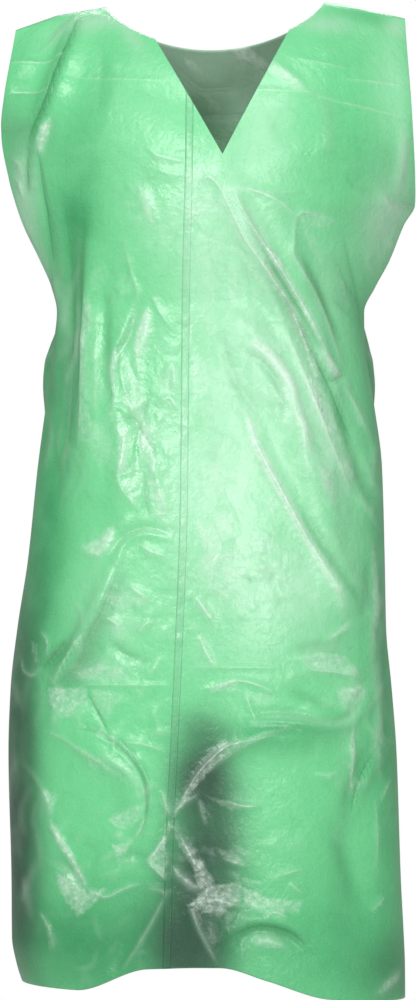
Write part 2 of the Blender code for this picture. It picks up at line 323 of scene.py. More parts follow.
FRONT_CREASES = (
    tuck("shoulder pleat line", 3.6, 1.8, 1, (-121, 7), (-129, 30), (-142, 62), (-153, 90), (-165, 113),
        (-170, 129)),
    sharp("pinch to the armhole", 3, 1.6, 0.2, (-123, 5), (-142, 21), (-160, 39)),
    sharp("pinch along the seam", 3, 1.2, 0.1, (-118, 4), (-104, 4), (-85, 14)),
    soft("left chest fall", 7, -1.4, 0.15, (-98, 29), (-98, 59), (-101, 98)),
    soft("left chest sweep", 8, -1.8, 0.2, (-103, 141), (-114, 159), (-129, 175)),
    sharp("armhole dark line", 2.6, -1.6, 0.6, (-161, 128), (-157, 160), (-152, 192), (-147, 237)),
    tuck("armhole flake", 4, 2.4, 0.1, (-149, 103), (-156, 121), (-160, 138)),
    sharp("armhole dip", 3, -1.6, 0.5, (-169, 130), (-171, 150), (-170, 172)),
    sharp("wing crinkle upper left", 2.6, 1.2, 0, (-186, 138), (-178, 144), (-174, 159)),
    sharp("wing crinkle lower left", 2.6, 1.2, 0, (-184, 155), (-178, 164), (-174, 178)),
    soft("left bunch one", 4, 1.5, 0.4, (-143, 185), (-142, 237), (-138, 301), (-139, 368), (-145, 434)),
    sharp("left bunch two", 3.2, -1.1, 0.3, (-137, 171), (-134, 227), (-132, 302), (-133, 387), (-139, 462)),
    sharp("left bunch three", 3, 1, 0.2, (-122, 210), (-126, 264), (-132, 330), (-135, 405), (-139, 480)),
    soft("left bunch four", 4.5, -2.4, 0.6, (-116, 190), (-120, 244), (-122, 302), (-126, 368)),
    sharp("left bunch five", 2.8, 0.98, 0.45, (-151, 225), (-146, 272), (-144, 329), (-149, 405)),
    soft("left bunch six", 4, -1.8, 0.4, (-154, 300), (-151, 367), (-159, 433)),
    sharp("column first streak", 3.2, 1.4, 0, (-112, 261), (-114, 293), (-116, 331), (-117, 368),
        (-121, 417)),
    sharp("column second streak", 3, 0.72, 0, (-100, 275), (-102, 312), (-102, 350), (-103, 383)),
    soft("column first hollow", 4.5, -2.2, 0.5, (-93, 271), (-93, 322), (-91, 368)),
    sharp("column third streak", 2.8, 1.2, 0.1, (-85, 318), (-88, 346), (-85, 370), (-89, 391)),
    tuck("column dark bend", 3.4, 1.2, 0.4, (-68, 281), (-75, 307), (-84, 324), (-86, 337)),
    sharp("column right line", 2.4, 0.96, 0, (-77, 225), (-71, 249), (-66, 266), (-66, 279)),
    soft("column bright sliver", 5, 1.6, 0, (-58, 279), (-58, 304), (-65, 324), (-65, 343)),
    sharp("slant to the lap", 2.6, 0.96, 0.1, (-52, 272), (-46, 285), (-33, 304)),
    sharp("knot left", 2.8, -1.3, 0.3, (-64, 392), (-74, 385), (-86, 391)),
    sharp("knot upper left", 2.6, 0.9, 0.2, (-64, 392), (-71, 374), (-78, 350), (-82, 324)),
    sharp("knot upper right", 2.8, -1.1, 0.3, (-64, 392), (-59, 378), (-56, 365)),
    sharp("knot lower right", 2.8, -1.2, 0.3, (-64, 392), (-57, 406), (-48, 421)),
    sharp("knot down", 3, -1.4, 0.3, (-64, 392), (-67, 412), (-66, 434)),
    soft("knot pad", 7, 1.4, 0, (-64, 367), (-61, 378)),
    sharp("left of the knot", 3, 1.2, 0, (-76, 398), (-78, 421), (-82, 445), (-63, 473)),
    sharp("right of the knot", 3, 1.1, 0, (-56, 400), (-51, 425), (-46, 449), (-37, 477)),
    sharp("below the knot", 2.6, -0.98, 0.3, (-59, 438), (-58, 458), (-56, 477)),
    soft("beside the lap high", 4, 1.5, 0, (-41, 350), (-33, 337), (-30, 361)),
    sharp("beside the lap low", 2.8, 1.4, 0, (-46, 371), (-35, 367), (-28, 378)),
    sharp("chest bright line", 2.6, 0.84, 0, (-58, 133), (-46, 142), (-22, 148)),
    sharp("chest second line", 2.6, 0.72, 0.1, (-50, 155), (-35, 159), (-20, 161)),
    soft("chest slant", 5, 1.1, 0, (-62, 170), (-56, 187), (-52, 204)),
    sharp("V arch", 4, 2.6, -0.2, (-7, 166), (1, 163), (10, 171), (20, 191), (33, 219), (50, 244), (71, 277),
        (90, 322), (102, 353)),
    tuck("V arch groove", 4, -2.4, 0.85, (50, 237), (63, 263), (78, 292), (93, 324), (107, 350), (120, 376),
        (135, 404)),
    sharp("second arch", 4, 2.4, -0.6, (22, 173), (35, 198), (48, 220), (63, 242), (78, 268), (95, 301),
        (107, 323)),
    soft("second arch groove", 5, -2.6, 0.7, (30, 184), (43, 213), (59, 242), (82, 283), (101, 318)),
    sharp("Y upper arm", 3, 1.8, 0, (19, 176), (30, 172), (52, 178), (71, 188), (81, 199)),
    sharp("Y upper line", 2.4, 1, 0.1, (35, 174), (59, 176), (85, 175)),
    sharp("Y right arm", 3, 1.5, 0, (81, 199), (88, 194), (99, 195)),
    sharp("Y stem", 3.2, 2.2, 0.1, (81, 199), (78, 220), (77, 233), (86, 249), (99, 271), (112, 302),
        (124, 334)),
    soft("Y stem shade", 5, -2, 0.65, (86, 234), (99, 258), (114, 291), (122, 310)),
    soft("flake fold", 5, 2.6, -0.8, (101, 320), (110, 334), (120, 346)),
    sharp("flake foot", 2.6, -1.6, 0.6, (110, 352), (118, 349), (126, 345)),
    sharp("flake tail", 2.8, 1.6, 0.1, (127, 355), (139, 377), (148, 396)),
    soft("middle ridge", 5.5, 3, -0.8, (39, 318), (56, 326), (73, 350), (78, 370), (86, 397), (91, 415)),
    soft("middle ridge shade", 5, -1.8, 0.35, (32, 322), (50, 335), (65, 359), (69, 387)),
    sharp("right ridge", 5, 2.6, -0.8, (73, 305), (86, 339), (97, 368), (110, 402), (123, 430), (133, 449)),
    soft("right ridge shade", 5, -2.4, 0.55, (120, 372), (129, 398), (141, 430), (154, 465)),
    sharp("long ridge", 5, 2.8, -0.8, (35, 378), (46, 413), (67, 452), (85, 486), (102, 516), (116, 542),
        (123, 566)),
    soft("long ridge shade", 6, -2.6, 0.5, (85, 469), (106, 506), (123, 536), (142, 561)),
    soft("mid left of ridge", 6, -1.4, 0.2, (13, 309), (26, 350), (50, 387)),
    sharp("waist line one", 2.6, -1, 0.22, (127, 214), (135, 246), (142, 273), (146, 303)),
    sharp("waist line two", 2.6, -0.9, 0.18, (120, 235), (130, 259), (140, 273)),
    sharp("waist line three", 2.6, -0.8, 0.15, (118, 274), (126, 281), (136, 290)),
    soft("chest edge fold", 9, 1.2, 0.3, (91, 80), (106, 89), (112, 112), (110, 145)),
    sharp("shoulder crumple right", 2.8, 1.4, 0.2, (162, 174), (170, 183), (178, 186)),
    sharp("shoulder crumple line", 2.4, 1.2, 0, (176, 186), (186, 183), (196, 183)),
    soft("right wing band", 5, 1.8, 0, (184, 113), (182, 142), (177, 175)),
    sharp("right chest dark", 2.6, -0.6, 0.12, (129, 159), (135, 167), (142, 173)),
    soft("V sheen fold", 5, 1.8, 0, (56, 50), (73, 64), (91, 78)),
    tuck("pocket arch", 3, 1.4, 0.2, (-88, 516), (-78, 499), (-59, 490), (-35, 495)),
    sharp("pocket light", 2.6, 1.3, 0, (-63, 503), (-52, 510), (-39, 514)),
    soft("pocket bright", 6, 2.2, 0, (-89, 486), (-93, 503), (-104, 511), (-116, 506)),
    tuck("left fold dark", 7, 3.2, 0.7, (-82, 525), (-89, 547), (-98, 569), (-108, 588), (-115, 610),
        (-128, 626), (-144, 636)),
    sharp("left fold bright", 2.6, 2, 0, (-112, 586), (-127, 607), (-142, 633)),
    tuck("left short diagonal", 4.5, 2.8, 0.85, (-132, 592), (-144, 607), (-155, 620)),
    sharp("left hook", 2.6, 1.6, 0.2, (-175, 609), (-172, 622), (-163, 626), (-155, 619)),
    sharp("left hook bright", 2.6, 1.5, 0, (-157, 585), (-150, 593), (-148, 607)),
    sharp("left faint line", 2.4, 1, 0.1, (-122, 557), (-115, 571), (-111, 584)),
    sharp("crumple dash one", 2.6, 1.4, 0, (-74, 541), (-65, 547), (-54, 554)),
    sharp("crumple dash two", 2.6, 1.6, 0, (-93, 571), (-84, 577), (-85, 584)),
    sharp("crumple dash three", 2.6, 1.6, 0, (-52, 573), (-59, 578), (-65, 585)),
    soft("low pocket curve", 5, -2, 0.4, (-89, 592), (-78, 604), (-56, 611)),
    sharp("low dark line", 2.4, -1.3, 0.5, (-111, 642), (-102, 660), (-93, 676)),
    tuck("low arc", 2.6, 1.4, 0.6, (-123, 674), (-102, 677), (-80, 691), (-63, 710), (-56, 730), (-56, 750),
        (-61, 769)),
    sharp("low slant one", 2.6, 0.96, 0, (-152, 677), (-132, 685), (-110, 698), (-89, 712)),
    soft("low slant two", 4.5, 1.6, 0, (-100, 696), (-78, 710), (-59, 728)),
    sharp("low slant three", 2.6, 1.4, 0, (-78, 686), (-59, 688), (-39, 695)),
    sharp("low arc bright", 2.6, 1.6, 0, (-57, 754), (-62, 767), (-69, 775)),
    sharp("left blaze", 3, 2, 0.1, (-149, 760), (-136, 780), (-123, 802), (-112, 822)),
    sharp("left blaze foot", 2.6, 1.5, 0, (-112, 822), (-96, 830), (-80, 823), (-63, 817)),
    tuck("left blaze shade", 4, 2.2, 0.5, (-147, 799), (-130, 808), (-119, 826)),
    sharp("left top blaze", 2.6, 1.4, 0, (-154, 731), (-149, 742), (-146, 755)),
    sharp("left hem patch", 2.8, 1.4, 0.1, (-157, 847), (-147, 863), (-144, 881)),
    sharp("hem bright slant", 3, 2, 0.3, (-38, 825), (-52, 852), (-68, 878), (-82, 899)),
    sharp("hem second slant", 3, 1.7, 0.2, (-17, 839), (-6, 863), (8, 889)),
    soft("soft low fold", 7, -2.2, 0.35, (-91, 797), (-72, 791), (-54, 793)),
    sharp("lap star left", 2.6, 1.8, 0, (-39, 772), (-48, 787), (-57, 797)),
    sharp("lap star lower left", 2.6, 1.6, 0, (-56, 797), (-46, 806), (-39, 813)),
    sharp("lap star arch", 2.4, 1.5, 0.1, (-41, 771), (-37, 765), (-32, 764), (-27, 770)),
    sharp("lap star right", 2.8, 1.8, 0, (-27, 770), (-20, 783), (-13, 796), (-4, 806)),
    soft("lap star tail", 5, 2, 0, (-33, 802), (-22, 813), (-11, 820), (0, 813)),
    sharp("Y of the band left", 2.4, 1.2, 0.2, (-57, 821), (-44, 824), (-37, 828)),
    sharp("low middle blaze", 3.2, 2.2, 0, (50, 680), (33, 685), (18, 689), (4, 700), (-11, 717), (-26, 743)),
    sharp("low middle second", 2.8, 1.8, 0.3, (80, 670), (50, 681), (24, 695), (0, 713)),
    sharp("low middle lens", 3, 1.8, 0, (-31, 750), (-22, 742), (-11, 735)),
    sharp("low middle faint", 2.4, 1, 0.1, (-9, 739), (-6, 750), (-2, 763)),
    sharp("lap side fleck", 2.6, 1.4, 0, (-43, 730), (-39, 743), (-35, 754)),
    sharp("mid bright slant", 3, 1.8, 0, (-11, 552), (-2, 565), (6, 575)),
    sharp("mid second slant", 2.8, 1.6, 0, (-8, 587), (-2, 602), (6, 615)),
    sharp("mid wedge", 2.8, 1.5, 0.1, (-4, 637), (7, 634), (22, 628)),
    sharp("sweep lens top", 2.6, 1.6, 0, (6, 637), (26, 629), (46, 633), (63, 641)),
    sharp("sweep box left", 2.6, 1.3, 0, (34, 640), (39, 654), (43, 663)),
    tuck("sweep curve", 4, 2.2, 0.35, (43, 663), (76, 663), (108, 670), (129, 668), (142, 652), (148, 638)),
    soft("sweep curve shade", 7, -2.6, 0.4, (39, 673), (76, 673), (110, 677)),
    tuck("right lens top", 4, 2.2, 0.4, (83, 605), (106, 601), (129, 604)),
    sharp("right lens foot", 2.8, 1.8, 0, (85, 607), (97, 619), (119, 622), (142, 627)),
    sharp("right patch foot", 2.8, 1.5, 0.2, (110, 590), (119, 587), (130, 581)),
    soft("sweep dark", 6, -1.8, 0.35, (76, 638), (97, 647), (117, 659)),
    sharp("right streak one", 2.8, 1.4, 0, (136, 669), (134, 689), (137, 712), (136, 738)),
    sharp("right streak two", 2.4, 1.2, 0, (129, 696), (134, 695), (140, 699)),
    tuck("right low fold", 5, -3, 0.8, (157, 696), (148, 712), (140, 732), (137, 753)),
    soft("right low ridge", 5, 2, 0, (160, 593), (158, 649), (161, 706)),
    sharp("right strip line", 2.4, 1.2, 0, (159, 743), (159, 771), (159, 810)),
    sharp("right strip dash", 2.4, 1.2, 0, (173, 724), (167, 734), (163, 745)),
    sharp("right dash low", 2.4, 1.3, 0, (166, 833), (161, 840), (155, 846)),
    soft("right strip groove", 4, -1, 0.3, (150, 518), (146, 552), (142, 570)),
    soft("right sheen band", 4.5, 1.8, 0, (156, 499), (156, 556), (153, 602), (154, 640)),
    soft("right hem sheen", 6, 1.6, 0, (181, 903), (171, 914), (159, 925)),
    tuck("hem arch", 6, -3, 0.85, (22, 866), (37, 858), (54, 856), (76, 862), (91, 875)),
    soft("hem arch ridge", 7, 2.2, 0, (39, 872), (54, 867), (72, 875)),
    sharp("low right dash one", 2.6, 1.2, 0, (67, 810), (78, 806), (89, 804)),
    sharp("low right dash two", 2.6, 1.2, 0, (76, 817), (83, 823), (88, 826)),
    sharp("low right dash three", 2.6, 1.4, 0, (17, 740), (33, 745), (48, 745)),
    sharp("low right dash four", 2.6, 1.2, 0, (13, 793), (22, 796), (35, 801)),
    sharp("low blaze", 3, 1.8, 0, (50, 850), (61, 843), (74, 849)),
    sharp("low blaze left", 3, 1.6, 0, (-11, 836), (6, 831), (26, 837)),
    sharp("right mid dash", 2.4, 1, 0, (100, 716), (110, 718), (119, 716)),
    soft("lower right shade", 9, -2.2, 0.3, (113, 759), (134, 806), (153, 864)),
    sharp("left arm high", 1.6, 1.5, 0, (-188, 49), (-133, 46)),
    sharp("left arm low", 1.6, 1.3, 0, (-189, 79), (-148, 78)),
    sharp("left chest packing line", 1.6, 0.7, 0, (-135, 66), (-39, 71)),
    sharp("right chest low", 1.6, 1.1, 0, (-11, 78), (97, 82)),
    sharp("right arm low", 1.6, 1.1, 0, (106, 87), (188, 104)),
    sharp("right arm high", 1.6, 1.2, 0, (129, 68), (188, 73)),
    sharp("right chest high", 1.6, 0.9, 0, (82, 48), (133, 58)),
    sharp("skirt middle", 1.6, 0.9, 0, (-11, 616), (63, 617)),
    sharp("skirt left packing line", 1.6, 1, 0, (-123, 633), (-35, 633)),
)

FRONT_CRUMPLES = (
    Crumple("left column", -89, 369, 34, 104, 0, 16, 150, 20, 2.6, 0.5),
    Crumple("left column head", -84, 247, 32, 32, 20, 50, 40, 14, 2.8, 0.6),
    Crumple("around the knot", -65, 415, 27, 51, 0, 40, 70, 15, 2.6, 0.6),
    Crumple("left bunch", -138, 339, 17, 124, 3, 6, 34, 60, 3.4, 1.3),
    Crumple("chest", -35, 183, 57, 48, -60, 40, 50, 18, 3, 0.5),
    Crumple("V pull", 50, 266, 48, 57, -28, 8, 40, 40, 3.2, 0.8),
    Crumple("right pull", 103, 387, 44, 104, -27, 9, 130, 30, 3, 0.8),
    Crumple("middle", 17, 388, 48, 104, -24, 26, 90, 20, 3.2, 0.35),
    Crumple("beside the lap", -37, 397, 15, 86, 0, 30, 30, 22, 3, 0.35),
    Crumple("middle crumple", 11, 545, 34, 76, 60, 40, 130, 13, 2.6, 0.5),
    Crumple("left pocket", -93, 527, 48, 48, 40, 40, 44, 18, 3, 0.8),
    Crumple("left skirt", -96, 647, 66, 57, 60, 40, 80, 22, 3, 0.9),
    Crumple("left low", -100, 759, 57, 57, 50, 40, 60, 22, 3, 0.9),
    Crumple("left bottom", -110, 861, 57, 48, 30, 50, 30, 26, 3.6, 0.7),
    Crumple("left strip", -169, 705, 17, 162, 2, 8, 40, 60, 4, 1),
    Crumple("lap star", -26, 796, 32, 34, -10, 60, 56, 12, 2.6, 0.6),
    Crumple("low blaze", 30, 831, 48, 21, 80, 30, 60, 12, 2.6, 0.6),
    Crumple("right lens", 113, 629, 38, 38, 70, 40, 56, 16, 2.8, 0.8),
    Crumple("right middle", 85, 527, 57, 57, -40, 50, 70, 18, 3, 0.5),
    Crumple("low right", 95, 768, 86, 86, 70, 50, 60, 24, 3.6, 0.5),
    Crumple("right strip", 162, 594, 13, 190, -2, 8, 50, 60, 3.6, 1),
    Crumple("right chest", 114, 127, 57, 66, -30, 60, 36, 20, 4, 0.35),
    Crumple("left chest", -73, 108, 57, 66, 10, 60, 36, 20, 4, 0.35),
    Crumple("right wing", 168, 202, 23, 44, 10, 50, 24, 18, 3, 0.7),
    Crumple("left wing", -174, 178, 15, 57, -4, 30, 24, 20, 3, 0.7),
    Crumple("right shoulder", 134, 24, 48, 25, 70, 50, 20, 18, 3, 0.5),
)

FRONT_PATCHES = {
    # Painted light: the glow of the frontal light over the chest and the middle.
    Tone.BRIGHT: (
        Patch("middle", 15, 360, 57, 180, 0, 0.6),
        Patch("right chest", 50, 113, 32, 51, 12, 0.45),
        Patch("left chest", -63, 118, 38, 57, 0, 0.12),
        Patch("below the V", 6, 198, 57, 43, 0, 0.5),
        Patch("right pull sheets", 78, 369, 44, 124, -22, 0.5),
        Patch("lower middle", 72, 545, 57, 61, 0, 0.6),
        Patch("middle bulge", 9, 454, 44, 66, 0, 0.6),
        Patch("left skirt light", -85, 564, 52, 57, 0, 0.25),
        Patch("right arm light", 173, 71, 21, 57, 0, 0.35),
        Patch("right waist light", 118, 261, 23, 53, -10, 0.3),
    ),
    # Painted shade at the sides, the bottom and in hollows, and in part the doubled film of the seams and the
    # lap.
    Tone.DEEP: (
        Patch("left strip", -140, 368, 16, 142, 3, 0.9),
        Patch("left strip low", -156, 518, 23, 114, 2, 0.8),
        Patch("left chest hollow", -126, 201, 23, 40, 12, 0.85),
        Patch("left of the chest", -108, 98, 21, 57, 20, 0.4),
        Patch("right strip", 159, 414, 11, 142, -4, 0.35),
        Patch("right strip low", 166, 650, 15, 152, -2, 0.8),
        Patch("right shoulder", 150, 3, 34, 9, 12, 0.45),
        Patch("right waist hollow", 140, 269, 13, 57, -10, 0.2),
        Patch("lap bottom", -38, 832, 9, 66, 0, 0.6),
        Patch("left skirt shade", -123, 618, 21, 38, 30, 0.5),
        Patch("sweep hollow", 50, 679, 57, 15, 0, 0.7),
        Patch("lower left", -104, 875, 91, 70, 0, 0.9),
        Patch("lower right", 113, 880, 104, 76, 0, 0.6),
        Patch("left arm shade", -177, 82, 21, 57, 0, 0.35),
        Patch("right chest shade", 138, 117, 25, 57, -6, 0.2),
        Patch("right lower waist", 136, 273, 13, 48, -20, 0.3),
    ),
    # Painted deep shade: the dark band down the middle where the hollow skirt is in shadow, the shaded side
    # edges and the hem corners.
    Tone.DARK: (
        Patch("left hem strip", -179, 791, 26, 142, 0, 0.95),
        Patch("left side low", -178, 650, 19, 114, 2, 0.8),
        Patch("left far strip", -158, 556, 10, 57, 6, 0.25),
        Patch("dark band upper", -5, 724, 32, 57, 0, 1),
        Patch("dark band head", -7, 672, 25, 15, 20, 0.25),
        Patch("dark band low", -18, 876, 44, 70, 0, 1),
        Patch("right hem corner", 173, 903, 38, 38, 0, 0.45),
        Patch("dark band", -3, 802, 38, 80, 4, 0.95),
        Patch("lower left dark", -110, 880, 66, 48, 0, 0.25),
    ),
    Tone.PALE: (
        Patch("left wing", -174, 191, 13, 57, 0, 0.8),
        Patch("left wing low", -158, 241, 8, 38, -20, 0.7),
        Patch("left shoulder film", -106, 10, 42, 10, -14, 0.6),
        Patch("right shoulder film", 111, 13, 28, 9, 4, 0.55),
        Patch("right shoulder corner", 178, 14, 11, 9, 30, 0.6),
        Patch("right wing", 168, 202, 25, 44, 12, 0.85),
        Patch("right wing band", 184, 142, 6, 32, 0, 0.6),
        Patch("neck edge film", -75, 19, 28, 8, 62, 0.5),
    ),
    # Painted sheen over crumpled patches, in part their whitening.
    Tone.HAZE: (
        Patch("column haze", -103, 368, 28, 72, 3, 0.25),
        Patch("column haze right", -61, 313, 13, 34, 6, 0.5),
        Patch("knot haze", -67, 406, 19, 48, 0, 0.7),
        Patch("below the knot haze", -46, 456, 13, 32, -20, 0.6),
        Patch("chest haze", -54, 188, 25, 28, 0, 0.4),
        Patch("beside the lap haze", -2, 221, 17, 57, 0, 0.45),
        Patch("right sheets haze", 71, 350, 13, 57, -28, 0.5),
        Patch("right crumple haze", 112, 434, 17, 32, -28, 0.5),
        Patch("lap side haze", -39, 387, 13, 28, 0, 0.35),
        Patch("middle crumple haze", 13, 517, 23, 44, 10, 0.7),
        Patch("middle crumple low", -3, 591, 17, 38, 0, 0.35),
        Patch("sweep crumple haze", 132, 639, 19, 13, 0, 0.55),
        Patch("left patch upper haze", -93, 618, 25, 11, 0, 0.5),
        Patch("dash haze", -74, 577, 21, 8, 0, 0.4),
        Patch("left bottom haze", -130, 819, 11, 15, -20, 0.6),
        Patch("right streak haze", 132, 690, 10, 38, 0, 0.4),
    ),
}
